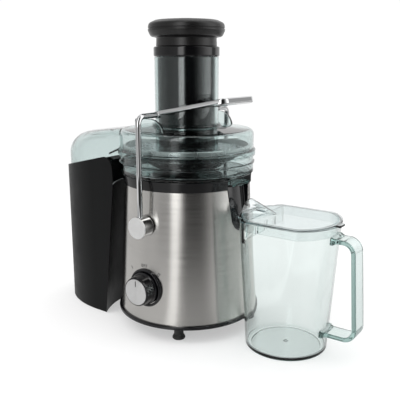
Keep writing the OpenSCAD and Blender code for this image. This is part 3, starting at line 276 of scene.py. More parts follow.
def raw_mesh(geo, name="work", merge=1e-4):
    """A Blender mesh with close points merged and its faces turned outwards."""
    me = bpy.data.meshes.new(name)
    me.from_pydata([tuple(map(float, v)) for v in geo[0]], [], [list(map(int, f)) for f in geo[1]])
    bm = bmesh.new()
    bm.from_mesh(me)
    bmesh.ops.remove_doubles(bm, verts=bm.verts, dist=merge)
    bmesh.ops.dissolve_degenerate(bm, dist=merge / 4, edges=bm.edges)
    bmesh.ops.recalc_face_normals(bm, faces=bm.faces)
    bm.to_mesh(me)
    bm.free()
    return me


def csg(base, *steps):
    """Cuts and joins closed meshes. Each step is ('-', '+' or '*', mesh)."""
    names = {"-": "DIFFERENCE", "+": "UNION", "*": "INTERSECT"}
    work = bpy.data.objects.new("work", raw_mesh(base))
    bpy.context.scene.collection.objects.link(work)
    used = [work]
    for op, geo in steps:
        o = bpy.data.objects.new("tool", raw_mesh(geo))
        bpy.context.scene.collection.objects.link(o)
        used.append(o)
        m = work.modifiers.new("cut", "BOOLEAN")
        m.operation, m.solver, m.object = names[op], "MANIFOLD", o
    bpy.context.view_layer.update()
    ev = work.evaluated_get(bpy.context.evaluated_depsgraph_get())
    me = ev.to_mesh()
    v = np.empty(len(me.vertices) * 3)
    me.vertices.foreach_get("co", v)
    faces = [list(p.vertices) for p in me.polygons]
    ev.to_mesh_clear()
    for o in used:
        data = o.data
        bpy.data.objects.remove(o)
        bpy.data.meshes.remove(data)
    return v.reshape(-1, 3), faces


def piece(name, geo, mat, body, nodes=(), angle=32, merge=1e-4):
    """A finished piece in metres, in the CAD's frame, riding on its body."""
    me = raw_mesh(geo, name, merge)
    v = np.empty(len(me.vertices) * 3)
    me.vertices.foreach_get("co", v)
    v = v.reshape(-1, 3) / 1000 + np.array([AX, 0, 0])
    me.vertices.foreach_set("co", v.ravel())
    me.polygons.foreach_set("use_smooth", [True] * len(me.polygons))
    me.set_sharp_from_angle(angle=radians(angle))
    me.update()
    o = bpy.data.objects.new(name, me)
    bpy.context.scene.collection.objects.link(o)
    o.data.materials.append(mat)
    normals = o.modifiers.new("normals", "WEIGHTED_NORMAL")
    normals.keep_sharp = True
    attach(o, body)
    if nodes:
        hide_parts(*nodes)
    return o


# ---------------------------------------------------------------- materials
def node(nt, kind, **values):
    """A new node, with its settings and its inputs' values by name."""
    n = nt.nodes.new(kind)
    for k, v in values.items():
        if hasattr(n, k):
            setattr(n, k, v)
        else:
            n.inputs[k].default_value = v
    return n


def maths(nt, operation, a, b):
    """Two values put together; b may be a plain number."""
    n = node(nt, "ShaderNodeMath", operation=operation)
    nt.links.new(a, n.inputs[0])
    if isinstance(b, (int, float)):
        n.inputs[1].default_value = b
    else:
        nt.links.new(b, n.inputs[1])
    return n.outputs[0]


def mixed(nt, share, a, b):
    """Shader a, with the given share of shader b."""
    n = node(nt, "ShaderNodeMixShader")
    for socket, v in zip(n.inputs, (share, a, b)):
        nt.links.new(v, socket)
    return n.outputs[0]


def ranged(nt, value, low, high, to_low=0.0, to_high=1.0, blend="LINEAR"):
    """A value brought from low..high to another range."""
    n = node(nt, "ShaderNodeMapRange", interpolation_type=blend)
    for key, v in (("From Min", low), ("From Max", high), ("To Min", to_low), ("To Max", to_high)):
        n.inputs[key].default_value = v
    nt.links.new(value, n.inputs["Value"])
    return n.outputs[0]


def material(name, color, rough, metal, vary, rough_vary, scale, bump, bump_scale, detail=4,
             spec=None, absorb=None, stretch=None, aniso=None):
    """A procedural surface: one noise varies colour and roughness, and another gives fine relief."""
    m = bpy.data.materials.new(name)
    m.use_nodes = True
    nt = m.node_tree
    nt.nodes.clear()
    link = nt.links.new
    out = node(nt, "ShaderNodeOutputMaterial")
    b = node(nt, "ShaderNodeBsdfPrincipled", Metallic=metal)
    link(b.outputs[0], out.inputs[0])
    co = node(nt, "ShaderNodeTexCoord")
    mp = node(nt, "ShaderNodeMapping", Scale=stretch or (1, 1, 1))
    link(co.outputs["Object"], mp.inputs[0])
    n1 = node(nt, "ShaderNodeTexNoise", Scale=scale, Detail=detail)
    link(mp.outputs[0], n1.inputs[0])
    ramp = node(nt, "ShaderNodeValToRGB")
    for e, at, gain in zip(ramp.color_ramp.elements, (0.3, 0.7), (1 - vary, 1 + vary)):
        e.position = at
        e.color = (*[min(1, c * gain) for c in color], 1)
    link(n1.outputs[0], ramp.inputs[0])
    link(ramp.outputs[0], b.inputs["Base Color"])
    roughness = ranged(nt, n1.outputs[0], 0.3, 0.7, max(0.0, rough - rough_vary), min(1, rough + rough_vary))
    link(roughness, b.inputs["Roughness"])
    if spec is not None:
        b.inputs["Specular IOR Level"].default_value = spec
    if absorb:
        b.inputs["IOR"].default_value, b.inputs["Transmission Weight"].default_value = 1.5, 1.0
        va = node(nt, "ShaderNodeVolumeAbsorption", Color=(*absorb[0], 1), Density=absorb[1])
        link(va.outputs[0], out.inputs["Volume"])
        # Shadow rays pass straight through, or the ground under the clear parts would be black.
        shade = node(nt, "ShaderNodeBsdfTransparent", Color=(0.94, 0.96, 0.955, 1))
        lp = node(nt, "ShaderNodeLightPath")
        link(mixed(nt, lp.outputs["Is Shadow Ray"], b.outputs[0], shade.outputs[0]), out.inputs[0])
    n2 = node(nt, "ShaderNodeTexNoise", Scale=bump_scale, Detail=3)
    link(mp.outputs[0], n2.inputs[0])
    bp = node(nt, "ShaderNodeBump", Strength=bump, Distance=0.0002)
    link(n2.outputs[0], bp.inputs["Height"])
    link(bp.outputs[0], b.inputs["Normal"])
    if aniso:
        axis, amount, turn = aniso
        tg = node(nt, "ShaderNodeTangent", direction_type="RADIAL", axis=axis)
        link(tg.outputs[0], b.inputs["Tangent"])
        b.inputs["Anisotropic"].default_value = amount
        b.inputs["Anisotropic Rotation"].default_value = turn
    return m


def clear(name, color, tint, density):
    """Clear plastic that gets darker with the length of the light's way through it."""
    return material(name, color, 0.006, 0, 0.01, 0.006, 12, 0.003, 40, absorb=(tint, density))


# Name, base colour, roughness, metal, spread of the colour and of the roughness, scale of the spread,
# strength of the fine relief and its scale.
GLOSS = material("gloss_black", (0.004, 0.004, 0.005), 0.12, 0, 0.15, 0.03, 30, 0.02, 160)
COLLAR = material("collar_black", (0.004, 0.004, 0.0045), 0.15, 0, 0.15, 0.03, 30, 0.03, 220)
SATIN = material("satin_black", (0.0040, 0.0043, 0.0045), 0.38, 0, 0.14, 0.05, 60, 0.35, 2600, spec=0.14)
PUSHER = material("pusher_black", (0.003, 0.003, 0.0035), 0.10, 0, 0.15, 0.03, 30, 0.03, 260)
CAP = material("cap_black", (0.0055, 0.005, 0.005), 0.33, 0, 0.12, 0.05, 60, 0.25, 2200)
RUBBER = material("rubber_black", (0.014, 0.014, 0.014), 0.62, 0, 0.2, 0.1, 120, 0.4, 1500)
STEEL = material("brushed_steel", (0.62, 0.605, 0.58), 0.22, 1, 0.02, 0.03, 18, 0.012, 420, 6,
                 stretch=(1, 1, 34), aniso=("Z", 0.82, 0.25))
CHROME = material("polished_chrome", (0.70, 0.705, 0.71), 0.03, 1, 0.02, 0.02, 25, 0.01, 120)
HUB = material("hub_satin", (0.80, 0.80, 0.795), 0.42, 0.75, 0.04, 0.06, 90, 0.12, 1800)
FACE = material("turned_aluminium", (0.78, 0.78, 0.775), 0.33, 0.95, 0.04, 0.05, 60, 0.05, 900,
                aniso=("Y", 0.8, 0.25))
CLEAR = clear("clear_green", (0.92, 0.95, 0.945), (0.34, 0.54, 0.53), 92)
GRIP = clear("grip_clear", (0.965, 0.985, 0.98), (0.30, 0.56, 0.52), 45)
JUGC = clear("jug_clear", (0.97, 0.985, 0.98), (0.33, 0.58, 0.54), 34)
COVER = clear("cover_clear", (0.975, 0.985, 0.985), (0.30, 0.52, 0.54), 62)
SCREW = material("zinc_steel", (0.58, 0.58, 0.60), 0.28, 1, 0.07, 0.1, 160, 0.1, 1400)
IRON = material("lamination_steel", (0.24, 0.24, 0.25), 0.45, 1, 0.25, 0.12, 30, 0.6, 60, stretch=(1, 1, 60))
COPPER = material("enamelled_copper", (0.48, 0.19, 0.07), 0.27, 1, 0.25, 0.08, 60, 0.7, 260,
                  stretch=(1, 1, 5))
ALU = material("cast_aluminium", (0.56, 0.57, 0.58), 0.48, 1, 0.08, 0.1, 90, 0.4, 900)
CARBON = material("brush_carbon", (0.03, 0.03, 0.031), 0.6, 0, 0.25, 0.1, 200, 0.4, 2000)
IVORY = material("ivory_moulding", (0.71, 0.68, 0.61), 0.42, 0, 0.05, 0.08, 70, 0.12, 1200)
SWITCH = material("switch_black", (0.028, 0.028, 0.032), 0.4, 0, 0.2, 0.08, 120, 0.2, 1600)
RED = material("plunger_red", (0.50, 0.045, 0.03), 0.35, 0, 0.08, 0.08, 90, 0.1, 1200)
RIM_STEEL = material("basket_steel", (0.70, 0.71, 0.71), 0.30, 1, 0.05, 0.06, 60, 0.05, 800)
MARK = material("mark_ink", (0.02, 0.02, 0.022), 0.5, 0, 0.2, 0.08, 300, 0.1, 3000)


def mesh_steel():
    """Etched steel: rows of small dark holes over a bright sheet."""
    m = material("etched_steel", (0.62, 0.63, 0.64), 0.25, 1, 0.06, 0.08, 60, 0.05, 900)
    nt = m.node_tree
    kinds = ("BSDF_PRINCIPLED", "VALTORGB", "TEX_COORD")
    b, ramp, co = (next(n for n in nt.nodes if n.type == kind) for kind in kinds)
    v = node(nt, "ShaderNodeTexVoronoi", Scale=520, Randomness=0.35)
    nt.links.new(co.outputs["Object"], v.inputs[0])
    mix = node(nt, "ShaderNodeMix", data_type="RGBA")
    mix.inputs[6].default_value = (0.02, 0.02, 0.022, 1)
    nt.links.new(ranged(nt, v.outputs["Distance"], 0.22, 0.34), mix.inputs[0])
    nt.links.new(ramp.outputs[0], mix.inputs[7])
    nt.links.new(mix.outputs[2], b.inputs["Base Color"])
    return m


MESH = mesh_steel()

KEEP = {
    RUBBER: ["rubber_feet", "cord_gland", "rubber_mounts", "shaft_seal"],
    SCREW: ["foot_screws", "motor_bolts", "mount_screws", "lower_bearing", "upper_bearing", "motor_shaft",
            "pivot_pins"],
    GLOSS: ["base_plate", "drive_coupling", "basket_hub"],
    COLLAR: ["motor_deck"],
    IVORY: ["cord_clamp", "terminal_block", "suppressor", "cooling_fan", "rotary_switch", "switch_spindle",
            "interlock_cam"],
    IRON: ["stator_core", "armature_core"],
    COPPER: ["field_windings", "armature_windings", "commutator"],
    ALU: ["lower_bracket", "upper_bracket"],
    SWITCH: ["brush_holders", "interlock_switch"],
    CARBON: ["carbon_brushes"],
    RED: ["interlock_plunger"],
    MESH: ["grater_disc", "filter_screen"],
    RIM_STEEL: ["basket_rim"],
}
for mat, names in KEEP.items():
    for n in names:
        o = NODES[n]
        if not o.material_slots:
            o.data.materials.append(mat)
        for s in o.material_slots:
            s.link = "OBJECT"
            s.material = mat

# ---------------------------------------------------------------- base
RECESS_TOP = SHELL_TOP_Z + 4
RECESS_H, RECESS_R, RECESS_W, RECESS_WALL = 59.5, 19.5, 25.5, 1.6
TIP_Z = RECESS_TOP - RECESS_H + RECESS_R
CORD_Z = 44


def tongue(inset, n=40, rows=14):
    """Recess outline as (height, y) from the upper corner at +y round the tip to the one at -y."""
    r, w = RECESS_R - inset, RECESS_W - inset
    h = RECESS_TOP - TIP_Z
    a = atan2(w, h) + math.acos(r / sqrt(h * h + w * w))
    tip = [(TIP_Z + r * cos(t), r * sin(t)) for t in np.linspace(a, 2 * pi - a, n)]
    dh, dy = tip[0][0] - RECESS_TOP, tip[0][1] - w
    side = [(RECESS_TOP + dh * k / rows, w + dy * k / rows) for k in range(rows)]
    return side + tip + [(h, -y) for h, y in side[::-1]]


def front_hole(radius, z, seg=64):
    """Cutter for a round hole through the front of the shell."""
    return drum(radius, 60, 99, seg, "Y", (0, z))


def steel_shell():
    wall, rows = 0.9, 24
    heights = [SHELL_Z + (SHELL_TOP_Z - SHELL_Z) * k / rows for k in range(rows + 1)]
    inside = [(SHELL_TOP_R - wall, SHELL_TOP_Z), (SHELL_LOW_R - wall, SHELL_Z)]
    body = lathe([(shell_r(z), z) for z in heights] + inside, 288)
    cut = loft([[(x, y, h) for h, y in tongue(-0.05)] for x in (SHELL_TOP_R - 24, SHELL_TOP_R + 20)])
    cut[0][np.abs(cut[0][:, 2] - RECESS_TOP) < 1e-6, 2] = RECESS_TOP + 3
    stem, pin, cord = front_hole(5, KNOB_Z, 48), front_hole(7, BAIL_Z), front_hole(8.05, CORD_Z)
    geo = csg(body, ("-", cut), ("-", stem), ("-", pin), ("-", mirrored(pin)), ("-", mirrored(cord)))
    piece("steel_body", geo, STEEL, "housing", ["steel_shell"], 25)


steel_shell()


def spout_recess():
    """Glossy tongue-shaped pocket with a rounded lip, let into the shell under the spout."""
    low_z = RECESS_TOP - RECESS_H - 1
    back_low = shell_r(low_z) - RECESS_WALL - 0.6
    back_top = shell_r(RECESS_TOP) - 7.5
    corner, lip_drop = 1.3, 0.35

    def back_r(z):
        return back_low + (back_top - back_low) * (z - low_z) / (RECESS_TOP - low_z)

    def side_r(z, f):
        """Radius on the side wall, from the lip to the corner at the back."""
        lip, deep = shell_r(z) - lip_drop, back_r(z) + RECESS_WALL
        return lip + (deep - lip) * f if deep < lip else lip - f * 0.4

    def corner_r(z, a):
        return back_r(z) + min(corner, max(0.3, (shell_r(z) - back_r(z)) * 0.5)) * (1 - sin(a))

    def place(loop, radius):
        return [(sqrt(max(radius(h) ** 2 - y * y, 1)), y, h) for h, y in loop]

    lip = [(0, -1.5), (0, 0), (0.12, 0.12), (0.5, 0.15), (1.1, 0.15), (1.45, 0.02), (RECESS_WALL, -lip_drop)]
    loops = [place(tongue(inset), lambda z: shell_r(z) + rise) for inset, rise in lip]
    loops += [place(tongue(RECESS_WALL), lambda z: side_r(z, f)) for f in (0.15, 0.35, 0.55, 0.75)]
    loops += [place(tongue(RECESS_WALL + corner * (1 - cos(a))), lambda z: corner_r(z, a))
              for a in (0, pi / 6, pi / 3, pi / 2)]
    base = tongue(RECESS_WALL + corner)
    for k in range(1, 7):
        f = k / 6
        shrunk = [((h if h > TIP_Z else TIP_Z + (h - TIP_Z) * (1 - f)), y * (1 - f)) for h, y in base]
        loops.append(place(shrunk, back_r))
    v, faces = loft(loops, False, False)
    # the loops stay open at the top
    me = raw_mesh((v, [f for i, f in enumerate(faces) if i % len(base) != len(base) - 1]), "recess", 2e-3)
    bm = bmesh.new()
    bm.from_mesh(me)
    bmesh.ops.solidify(bm, geom=bm.faces, thickness=0.9)
    bmesh.ops.recalc_face_normals(bm, faces=bm.faces)
    bm.verts.index_update()
    geo = np.array([q.co[:] for q in bm.verts]), [[q.index for q in f.verts] for f in bm.faces]
    bm.free()
    bpy.data.meshes.remove(me)
    piece("spout_pocket", geo, GLOSS, "housing", ["spout_recess"], 40)


spout_recess()

# ---------------------------------------------------------------- bowl
TROUGH_W, TROUGH_D = 24.8, 8.6


def bowl():
    r, w, z = BOWL_R, 2.2, BOWL_Z
    low = z - TROUGH_D
    f = z + 2.6
    dam = z + 5.2
    profile = rounded([
        (24, z, 0.5), (r, z, 3.2), (r, z + 14, 0.6), (r + 1.6, z + 14, 0.7), (r + 1.6, z + 16, 0.7),
        (r, z + 16, 0.6), (r, SEAT_Z, 0.5), (r - w, SEAT_Z, 0.5), (r - w, f, 4.0), (26.2, f, 1.0),
        (26.2, dam, 0.6), (24, dam, 0.6)], 5)

    def trough(inset, back, corner):
        """Plan of the channel to the spout; only its corners inside the bowl are round."""
        half, near, far = TROUGH_W - inset, r - back, r + 12
        return rounded([(near, -half, corner), (far, -half), (far, half), (near, half, corner)], 5)

    outer = csg(drum(r, low, z + 2, 224), ("*", prism(trough(0, 18, 3), low - 1, z + 2.2)))
    inner = csg(drum(r - w, low + w, z + 3, 224), ("*", prism(trough(w, 16, 2), low, z + 2.61)))
    slot = prism(rect(r - 9.5, -10, r - 3.5, 10, 1.5), low - 1, low + 3)
    geo = csg(lathe(profile, 224), ("+", outer), ("-", inner), ("-", slot))
    piece("juice_bowl", geo, CLEAR, "housing", ["bowl"], 30)


bowl()

# ---------------------------------------------------------------- lid with hood
BIN_MID, BIN_FAR, BIN_HALF = 113.0, -PULP_LO[0], PULP_HI[1]
RIM_X, RIM_Z, RIM_SLOPE = -88.0, 225.5, 0.235
HOOD_W = 61.5
HOOD_FRONT = -40.0


def hood_form(inset, low=0.0):
    """Closed form of the hood: straight sides run into an oval, and the upper edges are rounded."""
    n_arc, n_side, n_edge, n_roof = 56, 26, 9, 6
    ra, rb = BIN_FAR - BIN_MID - 4 - inset, BIN_HALF - 4 - inset
    p = np.array([HOOD_FRONT, HOOD_W - inset])
    c = np.array([-BIN_MID, 0])
    v = (p - c) / (ra, rb)
    a = atan2(v[1], v[0]) + math.acos(1 / np.linalg.norm(v))

    def on_oval(t):
        n = np.array([cos(t) / ra, sin(t) / rb])
        return c + np.array([ra * cos(t), rb * sin(t)]), n / np.linalg.norm(n)

    t0, nrm0 = on_oval(a)
    side = [(p + (t0 - p) * k / n_side, nrm0) for k in range(n_side)]
    flip = np.array([1, -1])
    ring = side + [on_oval(t) for t in np.linspace(a, 2 * pi - a, n_arc)]
    ring += [(q * flip, n * flip) for q, n in side[::-1]]
    pts, nrm = (np.array(v) for v in zip(*ring))
    top = SEAT_Z + 33 - inset

    def roof(x):
        f = np.clip((-50 - x) / 100.0, 0, 1.25)
        return top - 11.0 * f - 1.6 * f * f

    radius = 11 + 19 * np.clip((-60 - pts[:, 0]) / 95, 0, 1) ** 1.15 - inset
    loops = [np.c_[pts, np.full(len(pts), RIM_Z - 50 - low)]]
    for k in range(6):
        f = k / 5
        loops.append(np.c_[pts, (RIM_Z - 49) * (1 - f) + f * (roof(pts[:, 0]) - radius)])
    for k in range(1, n_edge + 1):
        t = pi / 2 * k / n_edge
        q = pts - nrm * (radius * (1 - cos(t)))[:, None]
        q[:, 0] = np.minimum(q[:, 0], HOOD_FRONT)
        loops.append(np.c_[q, roof(q[:, 0]) - radius * (1 - sin(t))])
    last = loops[-1]
    for k in range(1, n_roof + 1):
        f = k / n_roof
        x, y = last[:, 0], last[:, 1] * (1 - f)
        loops.append(np.c_[x, y, roof(x) + 0.9 * (1 - (1 - f) ** 2)])
    return loft(loops, True, False)


def rim_room():
    """Space above the container's sloping rim, which rounds down to each corner."""
    r, u, a = 15.0, -7.0, math.atan(RIM_SLOPE)
    c = (u + r * sin(a), u * RIM_SLOPE - r * cos(a))
    side = [(c[0] + r * cos(t), c[1] + r * sin(t)) for t in np.linspace(pi / 2 + a, radians(12), 24)]
    pts = [(-200, -200 * RIM_SLOPE)] + side + [(side[-1][0] + 3, -60), (120, -60), (120, 90), (-200, 90)]
    return loft([[(RIM_X + p[0], y, RIM_Z + p[1]) for p in pts] for y in (-130, 130)])


def above_rim(drop):
    """Everything over a plane that follows the container's sloping rim, a drop below it."""
    (x0, z0), (x1, z1) = ((x, RIM_Z - drop + RIM_SLOPE * (x - RIM_X)) for x in (-250, 250))
    pts = [(x0, -130, z0), (x0, 130, z0), (x1, 130, z1), (x1, -130, z1)]
    return loft([pts, [(x, y, z + 200) for x, y, z in pts]])


def ear():
    """Upright tab with a rounded back, one on each side of the lid's shoulder."""
    z0, top, t = SHOULDER_Z, LID_HI[2], 4.0
    low = z0 - 2
    back = [(2 + 20.0 * sin(radians(a)), low + (top - low) * cos(radians(a))) for a in range(0, 91, 9)]
    outline = rounded([(-22, z0 - 3), (-22, top, 3.0)] + back + [(22, z0 - 3)], 4)
    return facing(prism(outline, -t / 2, t / 2, 0.7), 0, 12 - BOWL_R)


def lid():
    r, w, sh = BOWL_R, 2.4, 7.0
    in_r = r - w
    z0, z1 = SEAT_Z, SHOULDER_Z
    cr = CHUTE_R
    profile = rounded([
        (r + 0.2, z0 - 2), (r + 2.4, z0 - 2, 0.6), (r + 2.4, z0 + 5, 1.2), (r, z0 + 6.6, 1.4), (r, z1, 7.0),
        (cr + 9, z1 + 3, 4.0), (cr + 3.2, z1 + 3.5, 2.4), (cr + 2.6, z1 + 7, 1.2), (cr + 0.05, z1 + 7, 0.5),
        (cr + 0.05, z1 + 0.6, 0.6), (in_r, z1 - 2.1, 4.6), (in_r, z0 + 0.05), (r + 0.2, z0 + 0.05)], 6)
    dome = lathe(profile, 224)
    hood = csg(hood_form(0), ("-", hood_form(w, 2.0)), ("-", drum(r - sh - 4, 100, 330)))
    # the way of the pulp from the bowl's edge down into the hood
    near, far = z0 + 7, z0 - 2
    ramp = lathe([(in_r + 0.5, near), (in_r + 0.5, near - w), (r + 15.5, far - w), (r + 15.5, far)], 192)
    ramp = csg(ramp, ("*", hood_form(w - 0.1)))
    window = csg(box((-r - 10, -HOOD_W + 5, z0 + 8), (-38, HOOD_W - 5, z1 - sh + 1)), ("*", hood_form(w)))
    low = csg(box((-300, -150, 0), (300, 150, z0 - 2)), ("-", above_rim(6.0)))
    geo = csg(dome, ("+", hood), ("+", ramp), ("+", ear()), ("+", mirrored(ear())),
              ("-", drum(r + 0.19, 100, z0 - 1.9, 224)), ("-", drum(r + 0.2, z0 - 3, z0 + 0.05, 224)),
              ("-", drum(in_r - 0.01, z0, z1 - sh, 224)), ("-", window), ("-", low))
    piece("hooded_lid", geo, CLEAR, "housing", ["lid"], 30, 1e-3)


lid()


def chute():
    r, w = CHUTE_R, CHUTE_WALL
    z0, z1 = CHUTE_LO[2], CHUTE_HI[2]
    profile = rounded([(r - w, z0, 0.5), (r, z0, 0.8), (r, z1, 1.2), (r - w, z1, 1.2)], 5)
    piece("chute_tube", lathe(profile, 192), CLEAR, "housing", ["feed_chute"], 35)


chute()

# ---------------------------------------------------------------- pusher
PUSH_LO, PUSH_HI = mm("pusher_body")
CAP_LO, CAP_HI = mm("pusher_cap")


def pusher():
    r = CHUTE_R - CHUTE_WALL - 1.3
    z0, ring, neck = PUSH_LO[2], CHUTE_HI[2] + 0.3, PUSH_HI[2]
    rr = PUSH_HI[0]
    t = 2.4
    profile = rounded([
        (0, z0), (r, z0, 2.2), (r, ring, 0.3), (rr - 0.8, ring, 0.6), (rr, ring + 1.4, 1.2), (rr, neck, 1.8),
        (r - t, neck, 0.3), (r - t, z0 + 3, 1.0), (0, z0 + 3)], 5)
    piece("pusher_tube", lathe(profile, 192), PUSHER, "pusher", ["pusher_body"], 40)
    low, top, cr = CAP_LO[2], CAP_HI[2], CAP_HI[0]
    nr = CHUTE_R - 2.4
    height = 22.4
    cz = top - height
    mid = cz + height * 0.44
    plug = r - t - 0.3
    profile = rounded([
        (0, low), (plug, low, 0.6), (plug, neck + 0.05), (nr, neck + 0.05, 0.8), (nr - 0.5, cz - 1.2, 0.8),
        (nr + 1.6, cz, 1.2), (cr - 3.4, cz + 0.5, 4.5), (cr, mid - 2.2, 4.0), (cr, mid, 0.5),
        (cr - 0.75, mid + 0.35, 0.2), (cr - 0.75, mid + 1.15, 0.2), (cr - 0.05, mid + 1.5, 0.6),
        (cr - 0.8, top - 5.5, 5.0), (cr - 9, top - 1.7, 6), (cr * 0.45, top - 0.35), (0, top)], 6)
    piece("pusher_grip", lathe(profile, 192), CAP, "pusher", ["pusher_cap"], 40)


pusher()


# ---------------------------------------------------------------- pulp container
def pulp():
    wall, half = 2.6, BIN_HALF
    top_r, foot_r = BOWL_R + 8.5, BOWL_R + 28

    def outline(inset, n=120):
        """Half an oval at the far end, and straight ends that the round cut takes away."""
        ra, rb = BIN_FAR - BIN_MID - inset, half - inset
        side = [(ra * cos(t) - BIN_MID, rb * sin(t)) for t in np.linspace(pi / 2, 3 * pi / 2, n)]
        return side + [(-top_r * 0.6, y) for y in (-half + inset - 1.5, half - inset + 1.5)]

    def cone(add, top=RIM_Z + 30):
        s = (foot_r - top_r) / RIM_Z
        return lathe([(0, -10), (foot_r + 10 * s + add, -10), (foot_r - top * s + add, top), (0, top)], 224)

    # the inner wall stops below the rim's lowest point, so that the hood has room over it
    inner_top = RIM_Z - RIM_SLOPE * (BIN_FAR + RIM_X) - 10
    room = csg(prism(outline(wall), 3, RIM_Z + 20), ("-", cone(wall, inner_top)))
    geo = csg(prism(outline(0), 0, RIM_Z + 1, 1.6, 4), ("-", cone(0)), ("-", room), ("-", rim_room()))
    o = piece("pulp_bin_body", geo, SATIN, "pulp_bin", ["pulp_container"], 30, 1e-3)
    b = o.modifiers.new("edges", "BEVEL")
    b.width, b.segments, b.limit_method, b.angle_limit = 0.0006, 3, "ANGLE", radians(50)
    b.use_clamp_overlap = True
    o.modifiers.move(1, 0)


pulp()


# ---------------------------------------------------------------- knob
def knob():
    face = KNOB_FACE_Y
    fr, bez = ((hi[0] - lo[0]) / 2 for lo, hi in (mm("knob_face"), mm("knob_bezel")))
    fy = shell_r(KNOB_Z) + 2.6

    def turned_part(profile):
        return lathe(rounded(profile, 5), 144, "Y", (0, KNOB_Z))

    over = [(shell_r(z) + 0.05, z) for z in (0, SHELL_TOP_Z)]
    inside = lathe([(0, 0), *over, (0, SHELL_TOP_Z)], 288)
    bezel = turned_part([
        (fr + 5, fy - 3.2), (fr + 5, fy - 0.5, 0.5), (fr + 5.9, fy, 0.8), (bez - 1.2, fy, 1.0),
        (bez, fy - 1.8, 1.4), (bez, fy - 9), (6, fy - 9), (6, fy - 3.2)])
    piece("dial_bezel", csg(bezel, ("-", inside)), GLOSS, "housing", ["knob_bezel"], 35)
    sk = shell_r(KNOB_Z - fr - 5) + 0.3
    top = face - 1.2
    grip = turned_part([
        (0, sk), (fr + 4.2, sk, 0.4), (fr + 4.2, sk + 3.4, 1.2), (fr + 2.6, sk + 5.0, 1.0),
        (fr + 1.8, top - 2.0, 1.0), (fr + 1.2, top + 0.5, 0.7), (fr + 0.1, top + 0.6, 0.3),
        (fr + 0.1, top - 0.6), (0, top - 0.6)])
    piece("dial_knob", grip, GLOSS, "dial", ["knob"], 35)
    disc = turned_part([
        (0, top - 0.6), (fr, top - 0.6), (fr - 0.1, face, 0.5), (fr - 3, face - 0.12), (0, face - 0.25)])
    outline = rect(-0.75, KNOB_Z + 7, 0.75, KNOB_Z + 14.6, 0.6, 4)
    mid = KNOB_Z + 10.8
    groove = facing(prism(outline, 0, 1.1), 0, -face - 0.5)
    ink = facing(prism([(x * 0.98, mid + (z - mid) * 0.99) for x, z in outline], 0, 0.4), 0, 0.35 - face)
    piece("dial_face", csg(disc, ("-", groove)), FACE, "dial", ["knob_face"], 35)
    piece("dial_pointer", ink, MARK, "dial", (), 35)


knob()


def strokes(shapes, u0, v0, name):
    """Small raised marks on the curve of the shell, from flat outlines (u across, v up)."""
    geos = []
    for pts in shapes:
        dense = []
        for i, p in enumerate(pts):
            q = pts[(i + 1) % len(pts)]
            k = max(1, int(abs(q[0] - p[0]) / 0.8) + 1)
            dense += [(p[0] + (q[0] - p[0]) * j / k, p[1] + (q[1] - p[1]) * j / k) for j in range(k)]
        cu, cv = np.mean(dense, axis=0)
        loops = []
        for rise, s in ((-0.15, 1.0), (0.10, 1.0), (0.14, 0.97)):
            loops.append([(u0 + cu + (u - cu) * s, -sqrt((shell_r(v0 + v) + rise) ** 2 - (u0 + u) ** 2),
                           v0 + cv + (v - cv) * s) for u, v in dense])
        geos.append(loft(loops))
    piece(name, joined(*geos), MARK, "housing", (), 35)


LETTER_H, LETTER_T = 4.2, 0.62


def bar(u, v, w, h):
    return [(u - w / 2, v - h / 2), (u + w / 2, v - h / 2), (u + w / 2, v + h / 2), (u - w / 2, v + h / 2)]


def letter_f(u):
    w, h, t = 2.3, LETTER_H, LETTER_T
    return [bar(u - w / 2 + t / 2, 0, t, h), bar(u + t / 2, h / 2 - t / 2, w - t, t),
            bar(u + t / 2 - 0.2, 0.15, w - t - 0.4, t)]


def letter_o(u, n=20):
    a, b = 2.8 / 2, LETTER_H / 2
    ring = [[(u + (a - t) * cos(2 * pi * k / n), (b - t) * sin(2 * pi * k / n)) for t in (LETTER_T, 0)]
            for k in range(n + 1)]
    return [[*ring[k], *ring[k + 1][::-1]] for k in range(n)]


def turned(shapes, deg):
    a = radians(deg)
    return [[(u * cos(a) - v * sin(a), u * sin(a) + v * cos(a)) for u, v in s] for s in shapes]


ONE = [bar(0, 0, 0.7, 4.4)]
TWO = [bar(-1.0, 0, 0.7, 4.4), bar(1.0, 0, 0.7, 4.4), bar(0, 2.0, 3.9, 0.6), bar(0, -2.0, 3.9, 0.6)]
strokes(letter_o(-3.7) + letter_f(0.1) + letter_f(3.5), -2.5, KNOB_Z + 28.4, "mark_off")
strokes(turned(ONE, 38), -26.5, KNOB_Z + 20.8, "mark_low")
strokes(turned(TWO, -38), 19.0, KNOB_Z + 20.2, "mark_high")


